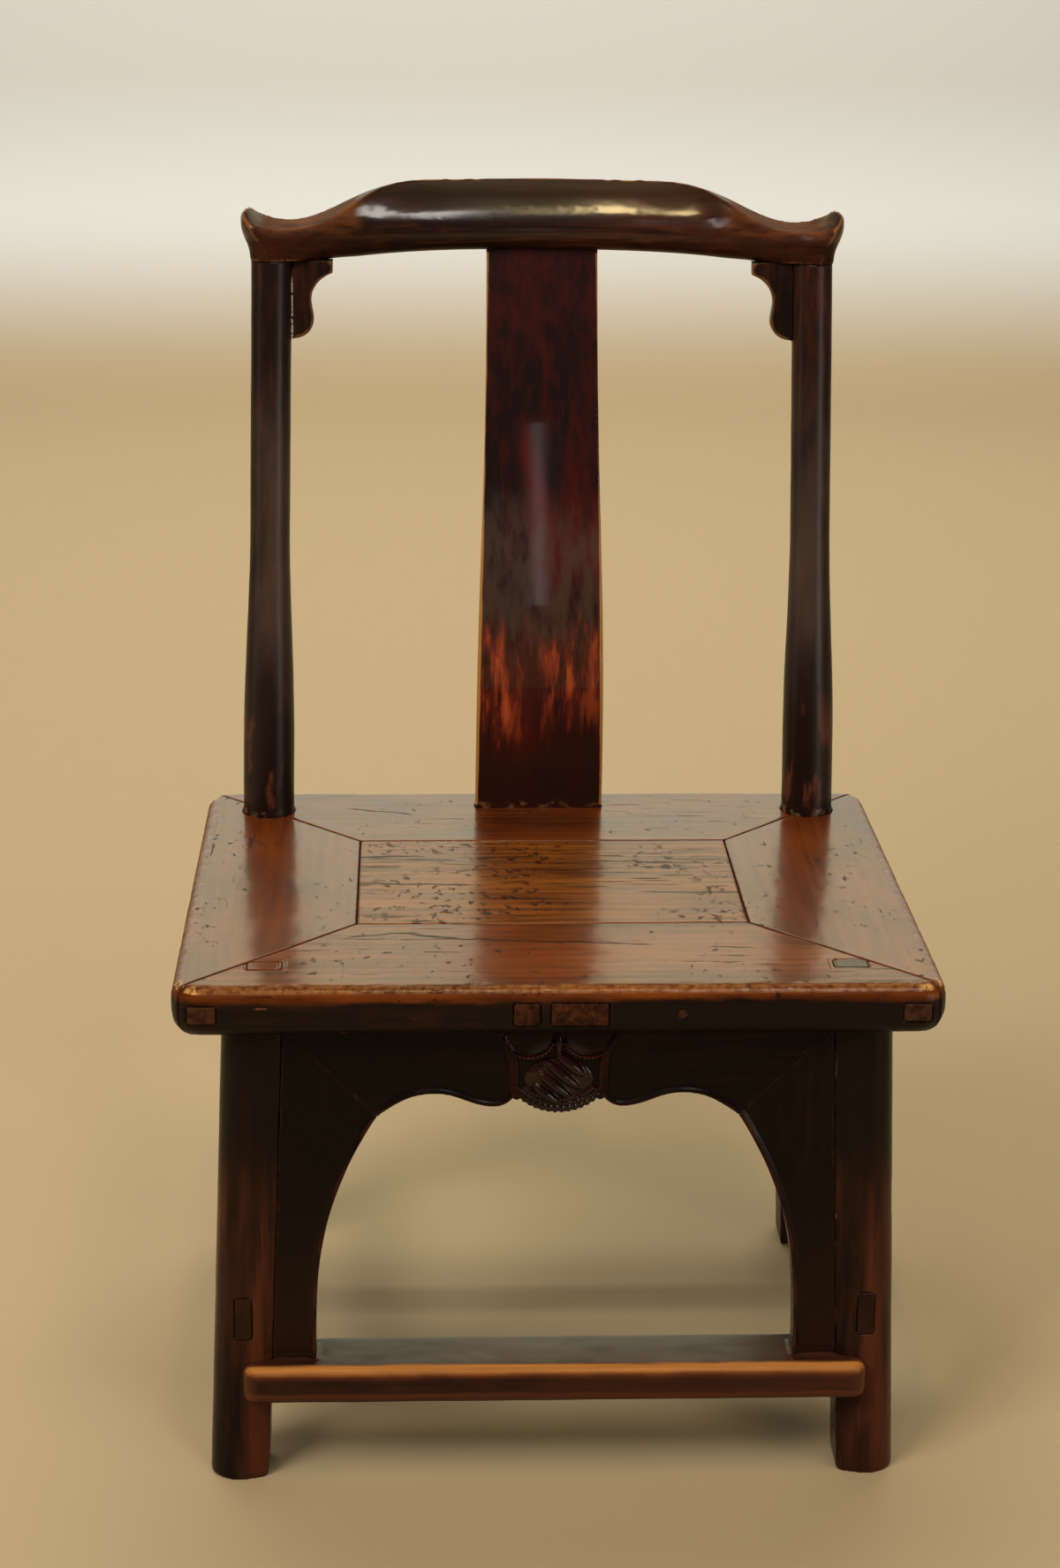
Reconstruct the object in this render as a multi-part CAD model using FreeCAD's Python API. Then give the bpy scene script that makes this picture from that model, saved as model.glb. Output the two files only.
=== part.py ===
import FreeCAD, Part
import math
import os

V = FreeCAD.Vector

# Low side chair with a yoke-shaped crest rail, in millimetres.
# X runs to the right as seen from the front, Y to the back, Z up from the floor.

# Fits between pieces
fit_clearance = 0.1
overcut = 5.0

# Seat frame
seat_width = 436.0
seat_depth = 352.0
seat_height = 314.0
seat_thickness = 32.0
rail_width = 102.0
seat_corner_radius = 16.0
seat_top_round = 9.0
seat_bottom_round = 14.0

# Tenons of the side rails, seen in the front and rear edges of the seat
corner_tenon_width = 16.0
corner_tenon_height = 11.0
corner_tenon_inset = 10.0

# Floating seat panel
panel_thickness = 9.0
panel_gap = 0.5
tongue_thickness = 4.0
tongue_depth = 6.0

# Brace under the seat panel, with two tenons through each long rail
brace_width = 54.0
brace_height = 16.0
brace_tenon_height = 14.5
brace_narrow_tenon = 15.5
brace_wide_tenon = 33.0

# Peg in the edge of the front rail
peg_diameter = 6.0
peg_length = 30.0
peg_offset = 68.0

# Front legs, rounded outside and square inside
leg_width = 35.0
leg_depth = 32.0
leg_crown = 5.0
leg_inset_side = 44.0
leg_inset_front = 31.4
splay_side = 2.32
splay_depth = 1.6
leg_tenon_width = 20.0
leg_tenon_depth = 12.0
leg_tenon_inward = 7.5
leg_tenon_backward = 5.0

# Rear posts, each one piece with its rear leg
post_inset_side = 41.5
post_inset_rear = 39.3
post_foot_width = 36.0
post_seat_diameter = 33.4
post_top_diameter = 26.0
post_taper_start = 50.0
post_taper_end = 185.0
post_height = 353.0
post_lean = 32.0
post_lean_power = 1.25
post_toe_in = 6.2
post_steps = 20
post_tenon_diameter = 14.0
post_tenon_length = 12.0

# Crest rail
crest_height = 48.8
crest_depth = 30.0
crest_bow = 20.0
crest_neck_length = 52.0
crest_end_proud = 0.5
crest_tip_flare = 5.7
crest_tip_level = 25.0
crest_tip_round = 8.0

# Back splat
splat_bottom_width = 83.0
splat_top_width = 70.5
splat_thickness = 10.0
splat_setback = 4.0
splat_lumbar_push = 7.0
splat_lumbar_height = 95.0
splat_tenon = 8.0

# Brackets between the posts and the crest rail
bracket_width = 25.5
bracket_height = 48.5
bracket_thickness = 9.0
bracket_step = 8.0
bracket_waist = 12.0
bracket_lobe = 13.4

# Front apron and the bracket boards that carry it down to the footrest
apron_thickness = 15.0
apron_cusp_drop = 53.5
apron_arch_drop = 40.0
apron_lobe_drop = 48.0
apron_notch_drop = 41.5
apron_pendant_drop = 52.0
apron_lobe_x = 36.5
apron_notch_x = 24.5
bracket_board_foot = 25.7
bead_radius = 1.9
bead_inset = 1.3

# Plain aprons at the sides and the rear
plain_apron_thickness = 12.0
plain_apron_height = 34.0
plain_apron_end_drop = 14.0
plain_apron_end_length = 30.0

# Footrest
footrest_lap = 16.8
footrest_width = 41.5
footrest_thickness = 22.0
footrest_top = 77.0
footrest_overhang = 17.0
footrest_corner_round = 9.0
footrest_top_round = 6.0
footrest_bottom_round = 4.0
footrest_tenon_height = 12.0
footrest_tenon_depth = 16.0
footrest_tenon_length = 14.0

# Stretchers
stretcher_width = 20.0
stretcher_height = 28.0
stretcher_round = 6.0
stretcher_tenon_width = 10.0
stretcher_tenon_height = 26.0
side_stretcher_level = 104.0
rear_stretcher_level = 140.0

# Places worked out from the sizes above
half_width = seat_width / 2
half_depth = seat_depth / 2
seat_under = seat_height - seat_thickness
seat_middle = seat_height - seat_thickness / 2
opening_x = half_width - rail_width
opening_y = half_depth - rail_width
panel_under = seat_height - panel_thickness
side_slope = math.tan(math.radians(splay_side))
depth_slope = math.tan(math.radians(splay_depth))
post_x = half_width - post_inset_side
post_y = half_depth - post_inset_rear
post_top_x = post_x - post_toe_in
post_top_y = post_y + post_lean
post_top = seat_height + post_height
footrest_under = footrest_top - footrest_thickness


def front_leg_x(z):
    """Middle of the right front leg at height z."""
    return half_width - leg_inset_side + side_slope * (seat_under - z)


def front_leg_y(z):
    return -(half_depth - leg_inset_front) - depth_slope * (seat_under - z)


def rear_leg_x(z):
    """Middle of the right rear leg at height z, below the seat."""
    return post_x + side_slope * (seat_under - z)


def rear_leg_y(z):
    return post_y + depth_slope * (seat_under - z)


def apron_front_y(z):
    """Front plane of the apron, level with the inner edge of the rounded leg."""
    return front_leg_y(z) - leg_depth / 2 + leg_crown


def leg_inner_x(z):
    """Inner face of the right front leg."""
    return front_leg_x(z) - leg_width / 2


# Small helpers

def box(low, high):
    size = high - low
    return Part.makeBox(size.x, size.y, size.z, low)


def grown(low, high, clearance):
    margin = V(clearance, clearance, clearance)
    return box(low - margin, high + margin)


def line(start, end):
    return Part.LineSegment(start, end).toShape()


def arc(start, middle, end):
    return Part.Arc(start, middle, end).toShape()


def bezier(*poles):
    curve = Part.BezierCurve()
    curve.setPoles(list(poles))
    return curve.toShape()


def spline(points):
    curve = Part.BSplineCurve()
    curve.interpolate(points)
    return curve.toShape()


def circle(centre, radius):
    return Part.Wire([Part.makeCircle(radius, centre, V(0, 0, 1))])


def polygon_face(points):
    return Part.Face(Part.makePolygon(points + [points[0]]))


def mirrored(shape):
    """The same piece on the other side of the chair."""
    return shape.mirror(V(0, 0, 0), V(1, 0, 0))


def level_edges(shape, z):
    """Edges that lie in the horizontal plane at z."""
    return [e for e in shape.Edges if all(abs(v.Z - z) < 1e-6 for v in e.Vertexes)]


# Seat

def seat_slab():
    """The whole rounded seat, from which the mitred rails are cut."""
    slab = box(V(-half_width, -half_depth, seat_under), V(half_width, half_depth, seat_height))
    upright = [e for e in slab.Edges if abs(e.Vertexes[0].Z - e.Vertexes[1].Z) > 1]
    slab = slab.makeFillet(seat_corner_radius, upright)
    slab = slab.makeFillet(seat_top_round, level_edges(slab, seat_height))
    return slab.makeFillet(seat_bottom_round, level_edges(slab, seat_under))


def mitre_region(outer_a, outer_b, inner_b, inner_a):
    """Prism over one rail of the mitred frame, given its corners in plan."""
    corners = [V(x, y, seat_under - overcut) for x, y in (outer_a, outer_b, inner_b, inner_a)]
    return polygon_face(corners).extrude(V(0, 0, seat_thickness + 2 * overcut))


def corner_tenon(end, clearance):
    """Tenon of the right side rail at its front (-1) or rear (+1) end."""
    outer = half_width - corner_tenon_inset
    near = opening_y * end
    far = (half_depth + overcut) * end
    low = V(outer - corner_tenon_width, min(near, far), seat_middle - corner_tenon_height / 2)
    high = V(outer, max(near, far), seat_middle + corner_tenon_height / 2)
    return grown(low, high, clearance)


def brace_tenons(clearance):
    """The narrow and the wide tenon of the brace, through the whole depth of the seat."""
    high_z = panel_under
    low_z = high_z - brace_tenon_height
    reach = half_depth + overcut
    left = -brace_width / 2
    right = brace_width / 2
    narrow = grown(V(left, -reach, low_z), V(left + brace_narrow_tenon, reach, high_z), clearance)
    wide = grown(V(right - brace_wide_tenon, -reach, low_z), V(right, reach, high_z), clearance)
    return narrow.fuse(wide)


def seat_peg_rod(clearance):
    start = V(peg_offset, -half_depth - overcut, seat_middle)
    length = peg_length + overcut + clearance
    return Part.makeCylinder(peg_diameter / 2 + clearance, length, start, V(0, 1, 0))


def leg_tenon(clearance):
    """Tenon of the right front leg, through the front rail."""
    x = front_leg_x(seat_under) - leg_tenon_inward
    y = front_leg_y(seat_under) + leg_tenon_backward
    low = V(x - leg_tenon_width / 2, y - leg_tenon_depth / 2, seat_under)
    high = V(x + leg_tenon_width / 2, y + leg_tenon_depth / 2, seat_height)
    return grown(low, high, clearance)


def post_hole():
    """Hole for the right rear post, through the mitred corner."""
    start = V(post_x, post_y, seat_under - overcut)
    radius = post_seat_diameter / 2 + fit_clearance
    return Part.makeCylinder(radius, seat_thickness + 2 * overcut, start)


def panel_groove():
    reach_x = opening_x + tongue_depth + fit_clearance
    reach_y = opening_y + tongue_depth + fit_clearance
    low = V(-reach_x, -reach_y, panel_under - fit_clearance)
    return box(low, V(reach_x, reach_y, panel_under + tongue_thickness + fit_clearance))


def seat_panel():
    edge_x = opening_x - panel_gap
    edge_y = opening_y - panel_gap
    reach_x = opening_x + tongue_depth
    reach_y = opening_y + tongue_depth
    board = box(V(-edge_x, -edge_y, panel_under), V(edge_x, edge_y, seat_height))
    tongue_top = panel_under + tongue_thickness
    tongue = box(V(-reach_x, -reach_y, panel_under), V(reach_x, reach_y, tongue_top))
    return board.fuse(tongue).removeSplitter()


def seat_brace(slab):
    low = V(-brace_width / 2, -opening_y, panel_under - brace_height)
    body = box(low, V(brace_width / 2, opening_y, panel_under))
    return body.fuse(brace_tenons(0).common(slab)).removeSplitter()


def seat_rails(slab, splat_mortise):
    """Four mitred rails: the side rails carry the tenons, the long rails the mortises."""
    signs = [(-1, -1), (1, -1), (1, 1), (-1, 1)]
    outer = [(half_width * sx, half_depth * sy) for sx, sy in signs]
    inner = [(opening_x * sx, opening_y * sy) for sx, sy in signs]
    groove = panel_groove()
    holes = post_hole().fuse(mirrored(post_hole()))

    def region(a, b):
        return mitre_region(outer[a], outer[b], inner[b], inner[a])

    front_region = region(0, 1)
    rear_region = region(2, 3)
    right = slab.common(region(1, 2)).cut(groove).cut(holes)
    long_rails = []
    for rail_end, long_region in ((-1, front_region), (1, rear_region)):
        right = right.fuse(corner_tenon(rail_end, 0).common(slab).common(long_region))
        rail = slab.common(long_region).cut(groove).cut(brace_tenons(fit_clearance))
        mortise = corner_tenon(rail_end, fit_clearance)
        long_rails.append(rail.cut(mortise).cut(mirrored(mortise)))
    front, rear = long_rails
    leg_mortise = leg_tenon(fit_clearance)
    front = front.cut(leg_mortise).cut(mirrored(leg_mortise)).cut(seat_peg_rod(fit_clearance))
    rear = rear.cut(holes).cut(splat_mortise)
    return front, rear, right.removeSplitter()


# Legs and posts

def leg_section(centre, width, depth, crown, toward_rear):
    """Section with a rounded outer corner and a square inner one, for a right-hand leg."""
    half_w = width / 2
    half_d = depth / 2
    way = 1 if toward_rear else -1

    def at(u, v):
        return V(centre.x + u, centre.y + way * v, centre.z)

    def sag(half, share):
        """How far a crowned face falls back at a share of its half width."""
        radius = (half * half + crown * crown) / (2 * crown)
        return radius - math.sqrt(radius * radius - (half * share) ** 2)

    diagonal = math.sqrt(0.5)
    edges = [
        arc(at(-half_w, half_d - crown), at(-half_w / 2, half_d - sag(half_w, 0.5)), at(0, half_d)),
        arc(at(0, half_d), at(half_w * diagonal, half_d * diagonal), at(half_w, 0)),
        arc(at(half_w, 0), at(half_w - sag(half_d, 0.5), -half_d / 2), at(half_w - crown, -half_d)),
        line(at(half_w - crown, -half_d), at(-half_w, -half_d)),
        line(at(-half_w, -half_d), at(-half_w, half_d - crown)),
    ]
    return Part.Face(Part.Wire(edges))


def front_leg_blank():
    """Right front leg from the floor to the seat, before its tenon and mortises."""
    foot = V(front_leg_x(0), front_leg_y(0), 0)
    top = V(front_leg_x(seat_under), front_leg_y(seat_under), seat_under)
    return leg_section(foot, leg_width, leg_depth, leg_crown, False).extrude(top - foot)


def rear_leg_blank():
    """Right rear leg from the floor to the seat."""
    foot = V(rear_leg_x(0), rear_leg_y(0), 0)
    top = V(post_x, post_y, seat_under)
    return leg_section(foot, post_foot_width, post_foot_width, leg_crown, True).extrude(top - foot)


def post_axis(rise):
    """Axis of the right post at a rise above the seat: leaning back and toed in."""
    share = max(rise, 0) / post_height
    return V(post_x - post_toe_in * share, post_y + post_lean * share ** post_lean_power, seat_height + rise)


def post_radius(rise):
    """Full at the seat, slim above the taper, with a smooth change between."""
    share = (rise - post_taper_start) / (post_taper_end - post_taper_start)
    share = min(max(share, 0), 1)
    ease = share * share * (3 - 2 * share)
    return post_seat_diameter / 2 + (post_top_diameter - post_seat_diameter) / 2 * ease


def post_upper():
    """Round part of the right post, from the seat's underside to the crest rail, with its tenon."""
    through = Part.makeCylinder(post_seat_diameter / 2, seat_thickness, V(post_x, post_y, seat_under))
    rises = [post_height * step / post_steps for step in range(post_steps + 1)]
    rings = [circle(post_axis(rise), post_radius(rise)) for rise in rises]
    shaft = Part.makeLoft(rings, True, True)
    tenon = Part.makeCylinder(post_tenon_diameter / 2, post_tenon_length, post_axis(post_height))
    return through.fuse(shaft).fuse(tenon)


# Stretchers and footrest

def bar_face(centre, along, width, height, radius):
    """Rounded rectangle across a bar that runs along 'x' or 'y'."""
    across = V(0, 1, 0) if along == "x" else V(1, 0, 0)
    up = V(0, 0, 1)

    def at(u, v):
        return centre + across * u + up * v

    w = width / 2
    h = height / 2
    if radius == 0:
        return polygon_face([at(-w, -h), at(w, -h), at(w, h), at(-w, h)])
    knee = radius * (1 - math.sqrt(0.5))
    edges = []
    for su, sv in ((1, -1), (1, 1), (-1, 1), (-1, -1)):
        flat_first = at(su * (w - radius), sv * h) if su == -sv else at(su * w, sv * (h - radius))
        flat_last = at(su * w, sv * (h - radius)) if su == -sv else at(su * (w - radius), sv * h)
        if edges:
            edges.append(line(edges[-1].Vertexes[-1].Point, flat_first))
        edges.append(arc(flat_first, at(su * (w - knee), sv * (h - knee)), flat_last))
    edges.append(line(edges[-1].Vertexes[-1].Point, edges[0].Vertexes[0].Point))
    return Part.Face(Part.Wire(edges))


def stretcher(start, end, along, leg_a, leg_b):
    """A bar between two legs with a tenon through each, and the cutter for its mortises."""
    run = end - start
    reach = run * (leg_width * 1.5 / run.Length)
    bar = bar_face(start, along, stretcher_width, stretcher_height, stretcher_round).extrude(run)
    width, height = stretcher_tenon_width, stretcher_tenon_height
    tenon = bar_face(start - reach, along, width, height, 0).extrude(run + reach * 2)
    gap = 2 * fit_clearance
    mortise = bar_face(start - reach, along, width + gap, height + gap, 0).extrude(run + reach * 2)
    solid = bar.cut(leg_a).cut(leg_b).fuse(tenon.common(leg_a)).fuse(tenon.common(leg_b))
    return solid.removeSplitter(), mortise


def footrest_front():
    """Front of the footrest's nose."""
    return apron_front_y(footrest_top) - footrest_overhang


def footrest_tenon(clearance):
    """Stub tenon of the footrest in the right front leg."""
    z = footrest_top - footrest_thickness / 2
    inner = leg_inner_x(z)
    y = front_leg_y(z)
    low = V(inner - overcut, y - footrest_tenon_depth / 2, z - footrest_tenon_height / 2)
    high = V(inner + footrest_tenon_length, y + footrest_tenon_depth / 2, z + footrest_tenon_height / 2)
    return grown(low, high, clearance)


def footrest(right_leg):
    """Board between the front legs whose rounded nose runs on across their faces."""
    front = footrest_front()
    back = front + footrest_width
    end = leg_inner_x(footrest_top - footrest_thickness / 2) + footrest_lap
    board = box(V(-end, front, footrest_under), V(end, back, footrest_top))
    upright = [e for e in board.Edges if abs(e.Vertexes[0].Z - e.Vertexes[1].Z) > 1]
    corners = [e for e in upright if e.Vertexes[0].Y < back - 1]
    board = board.makeFillet(footrest_corner_round, corners)

    def nose(z):
        return [e for e in level_edges(board, z) if e.BoundBox.YMin < back - 1e-6]

    board = board.makeFillet(footrest_top_round, nose(footrest_top))
    board = board.makeFillet(footrest_bottom_round, nose(footrest_under))
    left_leg = mirrored(right_leg)
    board = board.cut(right_leg).cut(left_leg)
    tenon = footrest_tenon(0).common(right_leg)
    return board.fuse(tenon).fuse(mirrored(tenon)).removeSplitter()


# Aprons

def on_front(x, z):
    """Point in the sloping front plane of the apron."""
    return V(x, apron_front_y(z), z)


def apron_corner():
    return on_front(leg_inner_x(seat_under), seat_under)


def apron_cusp(inset):
    """Lower end of the mitre between the apron and its bracket board, at 45 degrees.

    A curve that runs inside the edge meets the mitre its inset further up."""
    drop = apron_cusp_drop - inset
    return on_front(leg_inner_x(seat_under) - drop, seat_under - drop)


def apron_half_edge(inset):
    """Right half of the apron's lower edge, from the mitre to the pendant's notch, or a curve inside it."""
    cusp = apron_cusp(inset)
    lobe_z = seat_under - apron_lobe_drop + inset
    arch_z = seat_under - apron_arch_drop + inset
    notch_z = seat_under - apron_notch_drop + inset
    arch_x = (cusp.x + apron_lobe_x) / 2
    pull = (cusp.x - apron_lobe_x) / 5
    rise = (arch_z - cusp.z) * 0.7
    lobe_pull = (apron_lobe_x - apron_notch_x) / 2
    return [
        bezier(cusp, on_front(cusp.x - pull, cusp.z + rise),
               on_front(arch_x + pull, arch_z), on_front(arch_x, arch_z)),
        bezier(on_front(arch_x, arch_z), on_front(arch_x - pull, arch_z),
               on_front(apron_lobe_x + pull, lobe_z), on_front(apron_lobe_x, lobe_z)),
        bezier(on_front(apron_lobe_x, lobe_z), on_front(apron_lobe_x - lobe_pull, lobe_z),
               on_front(apron_notch_x + lobe_pull / 2, notch_z - lobe_pull / 2),
               on_front(apron_notch_x, notch_z)),
    ]


def front_apron():
    """Board with a double arch and a rounded pendant, mitred to the bracket boards."""
    half = apron_half_edge(0)
    notch_z = seat_under - apron_notch_drop
    pendant = arc(on_front(apron_notch_x, notch_z), on_front(0, seat_under - apron_pendant_drop),
                  on_front(-apron_notch_x, notch_z))
    corner = apron_corner()
    other_corner = V(-corner.x, corner.y, corner.z)
    cusp = apron_cusp(0)
    other_cusp = V(-cusp.x, cusp.y, cusp.z)
    edges = [line(corner, cusp)] + half + [pendant] + [mirrored(e) for e in reversed(half)]
    edges += [line(other_cusp, other_corner), line(other_corner, corner)]
    outline = Part.Face(Part.Wire(Part.__sortEdges__(edges)))
    bead = apron_half_edge(bead_inset)
    return beaded_board(outline, [bead, [mirrored(e) for e in bead]])


def bracket_board_edge(inset):
    """Curve of the right bracket board's free edge, from the mitre to the footrest."""
    cusp = apron_cusp(inset)
    drop = cusp.z - footrest_top
    foot = on_front(leg_inner_x(footrest_top) - bracket_board_foot + inset, footrest_top)
    return bezier(cusp, on_front(foot.x, cusp.z - drop * 0.38),
                  on_front(foot.x, footrest_top + drop * 0.33), foot)


def apron_bracket_board():
    """Right bracket board, from the mitre down the leg to the footrest."""
    corner = apron_corner()
    free_edge = bracket_board_edge(0)
    foot_outer = on_front(leg_inner_x(footrest_top), footrest_top)
    foot_inner = on_front(foot_outer.x - bracket_board_foot, footrest_top)
    edges = [line(corner, apron_cusp(0)), free_edge, line(foot_inner, foot_outer), line(foot_outer, corner)]
    return beaded_board(Part.Face(Part.Wire(edges)), [[bracket_board_edge(bead_inset)]])


def beaded_board(outline, paths):
    """Board of the given outline with a half-round bead on its face along each path."""
    board = outline.extrude(V(0, apron_thickness, 0))
    room = outline.copy()
    room.translate(V(0, -2 * bead_radius, 0))
    room = room.extrude(V(0, apron_thickness + 2 * bead_radius, 0))
    for path in paths:
        spine = Part.Wire(path)
        start = path[0].valueAt(path[0].FirstParameter)
        ahead = path[0].tangentAt(path[0].FirstParameter)
        ring = Part.Wire([Part.makeCircle(bead_radius, start, ahead)])
        board = board.fuse(spine.makePipeShell([ring], True, False).common(room))
    return board.removeSplitter()


def plain_apron_outline(at, left, right):
    """Straight board with rounded drops at its ends; 'at' places a point, the ends follow the legs."""
    low = seat_under - plain_apron_height
    end_low = low - plain_apron_end_drop
    reach = plain_apron_end_length
    left_low = left(end_low)
    right_low = right(end_low)
    edges = [
        line(at(left(seat_under), seat_under), at(right(seat_under), seat_under)),
        line(at(right(seat_under), seat_under), at(right_low, end_low)),
        bezier(at(right_low, end_low), at(right_low - reach / 3, end_low), at(right_low - reach / 2, low),
               at(right_low - reach, low)),
        line(at(right_low - reach, low), at(left_low + reach, low)),
        bezier(at(left_low + reach, low), at(left_low + reach / 2, low), at(left_low + reach / 3, end_low),
               at(left_low, end_low)),
        line(at(left_low, end_low), at(left(seat_under), seat_under)),
    ]
    return Part.Face(Part.Wire(edges))


def side_apron():
    """Right apron between the front and the rear leg."""
    def at(y, z):
        return V(front_leg_x(z), y, z)

    def front_end(z):
        return front_leg_y(z) + leg_depth / 2

    def rear_end(z):
        return rear_leg_y(z) - post_foot_width / 2

    return plain_apron_outline(at, front_end, rear_end).extrude(V(-plain_apron_thickness, 0, 0))


def rear_apron():
    def at(x, z):
        return V(x, rear_leg_y(z), z)

    def right_end(z):
        return rear_leg_x(z) - post_foot_width / 2

    def left_end(z):
        return -right_end(z)

    return plain_apron_outline(at, left_end, right_end).extrude(V(0, -plain_apron_thickness, 0))


# Back

def splat_solid(clearance):
    """S-curved board, wider at the seat than at the crest rail."""
    bottom = seat_height - splat_tenon - clearance
    top = post_top + splat_tenon + clearance
    front_low = post_y + splat_setback
    front_top = post_top_y + crest_bow - splat_thickness / 2
    lumbar = V(0, front_low - splat_lumbar_push, seat_height + splat_lumbar_height)
    shoulder = V(0, front_low + (front_top - front_low) * 0.4, seat_height + post_height * 0.75)
    points = [V(0, front_low, bottom), lumbar, shoulder, V(0, front_top, top)]
    points = [V(0, p.y - clearance, p.z) for p in points]
    thick = V(0, splat_thickness + 2 * clearance, 0)
    front = spline(points)
    back = spline([p + thick for p in points])
    profile = [front, line(points[-1], points[-1] + thick), back, line(points[0], points[0] + thick)]
    reach = splat_bottom_width
    side = Part.Face(Part.Wire(Part.__sortEdges__(profile))).extrude(V(2 * reach, 0, 0))
    side.translate(V(-reach, 0, 0))
    low = splat_bottom_width / 2 + clearance
    high = splat_top_width / 2 + clearance
    middle = (bottom + top) / 2
    y = front_low - 2 * overcut - splat_lumbar_push
    right = bezier(V(low, y, bottom), V(low, y, middle), V(high, y, middle), V(high, y, top))
    outline = [right, line(V(high, y, top), V(-high, y, top)), mirrored(right),
               line(V(-low, y, bottom), V(low, y, bottom))]
    depth = crest_bow + post_lean + splat_thickness + 6 * overcut + splat_lumbar_push
    return Part.Face(Part.Wire(Part.__sortEdges__(outline))).extrude(V(0, depth, 0)).common(side)


# Sections of the crest rail, from its middle to just past the post. Each row gives its place as shares of
# the headrest's half length and of the neck, how far its depth has come down to the post's, the underside
# and the front bulge as shares of the crest's height, and then the front lip and the rear top edge, each as
# shares of the section's half depth and of the crest's height.
crest_rows = [
    (0, 0, 0, 0.10, 0.35, (0.33, 1.00), (0.60, 0.96)),
    (0.5, 0, 0, 0.09, 0.36, (0.30, 0.985), (0.60, 0.945)),
    (0.85, 0, 0, 0.05, 0.39, (0.07, 0.90), (0.60, 0.89)),
    (1, 0, 0, 0.02, 0.41, (-0.47, 0.72), (0.67, 0.76)),
    (1, 0.29, 0.2, 0.00, 0.36, (-0.80, 0.53), (0.80, 0.615)),
    (1, 0.57, 0.6, -0.08, 0.22, (-0.83, 0.42), (0.83, 0.51)),
    (1, 0.84, 1, -0.27, 0.10, (-0.83, 0.39), (0.83, 0.49)),
    (1, 1.07, 1, -0.38, 0.04, (-0.83, 0.41), (0.80, 0.55)),
    (1, 1.24, 1, -0.40, 0.03, (-0.81, 0.47), (0.77, 0.65)),
    (1, 1.45, 1, -0.40, 0.03, (-0.79, 0.50), (0.75, 0.67)),
]


def crest_section(x, slimming, under, bulge, lip, rear_top):
    """One closed section: the swelling face, underside and back in one curve, the top in another."""
    bow = crest_bow * (1 - (x / post_top_x) ** 2)
    half_depth_here = (crest_depth + slimming * (post_top_diameter - crest_depth)) / 2

    def at(depth, height):
        return V(x, post_top_y + bow + depth * half_depth_here, post_top + height * crest_height)

    face = at(0.42 * lip[0] - 0.64, (lip[1] + bulge) / 2)
    around = [at(*lip), face, at(-1, bulge), at(-0.72, under + 0.05), at(0, under), at(0.72, under + 0.05),
              at(1, (under + rear_top[1]) / 2), at(*rear_top)]
    return Part.Wire([spline(around), line(at(*rear_top), at(*lip))])


def crest_bounds():
    """Room for the rail: a block between the posts and, on each post, a round that flares to a domed tip."""
    foot = post_top_diameter / 2 + crest_end_proud
    tip = foot + crest_tip_flare
    inner = tip - crest_tip_round
    tip_top = crest_tip_level + crest_tip_round
    bend = crest_tip_round * math.sqrt(0.5)

    def at(out, height):
        return V(post_top_x + out, post_top_y, post_top + height)

    profile = [
        line(at(0, -crest_height), at(foot, -crest_height)),
        line(at(foot, -crest_height), at(foot, 0)),
        bezier(at(foot, 0), at(foot, crest_tip_level / 2), at(tip, crest_tip_level / 2), at(tip, crest_tip_level)),
        arc(at(tip, crest_tip_level), at(inner + bend, crest_tip_level + bend), at(inner, tip_top)),
        line(at(inner, tip_top), at(0, tip_top)),
        line(at(0, tip_top), at(0, -crest_height)),
    ]
    end = Part.Face(Part.Wire(profile)).revolve(at(0, 0), V(0, 0, 1), 360)
    between = box(V(-post_top_x, post_top_y - 2 * crest_depth, post_top - crest_height),
                  V(post_top_x, post_top_y + 2 * crest_depth + crest_bow, post_top + 2 * crest_height))
    return between.fuse([end, mirrored(end)])


def crest_rail(splat_mortise):
    """Yoke-shaped rail lofted from end to end, with raised ends and a sloping headrest."""
    head = post_top_x - crest_neck_length
    places = [(head * row[0] + crest_neck_length * row[1], row[2:]) for row in crest_rows]
    left = [crest_section(-x, *row) for x, row in reversed(places[1:])]
    right = [crest_section(x, *row) for x, row in places]
    rail = Part.makeLoft(left + right, True, False).common(crest_bounds())
    flat_from = post_top_x - post_top_diameter / 2 - bracket_width
    below = box(V(flat_from, post_top_y - 2 * crest_depth, post_top - crest_depth),
                V(flat_from + 4 * crest_depth, post_top_y + 2 * crest_depth, post_top))
    length = post_tenon_length + fit_clearance
    socket = Part.makeCylinder(post_tenon_diameter / 2 + fit_clearance, length, post_axis(post_height))
    for cutter in (below, socket):
        rail = rail.cut(cutter).cut(mirrored(cutter))
    return rail.cut(splat_mortise)


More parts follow.
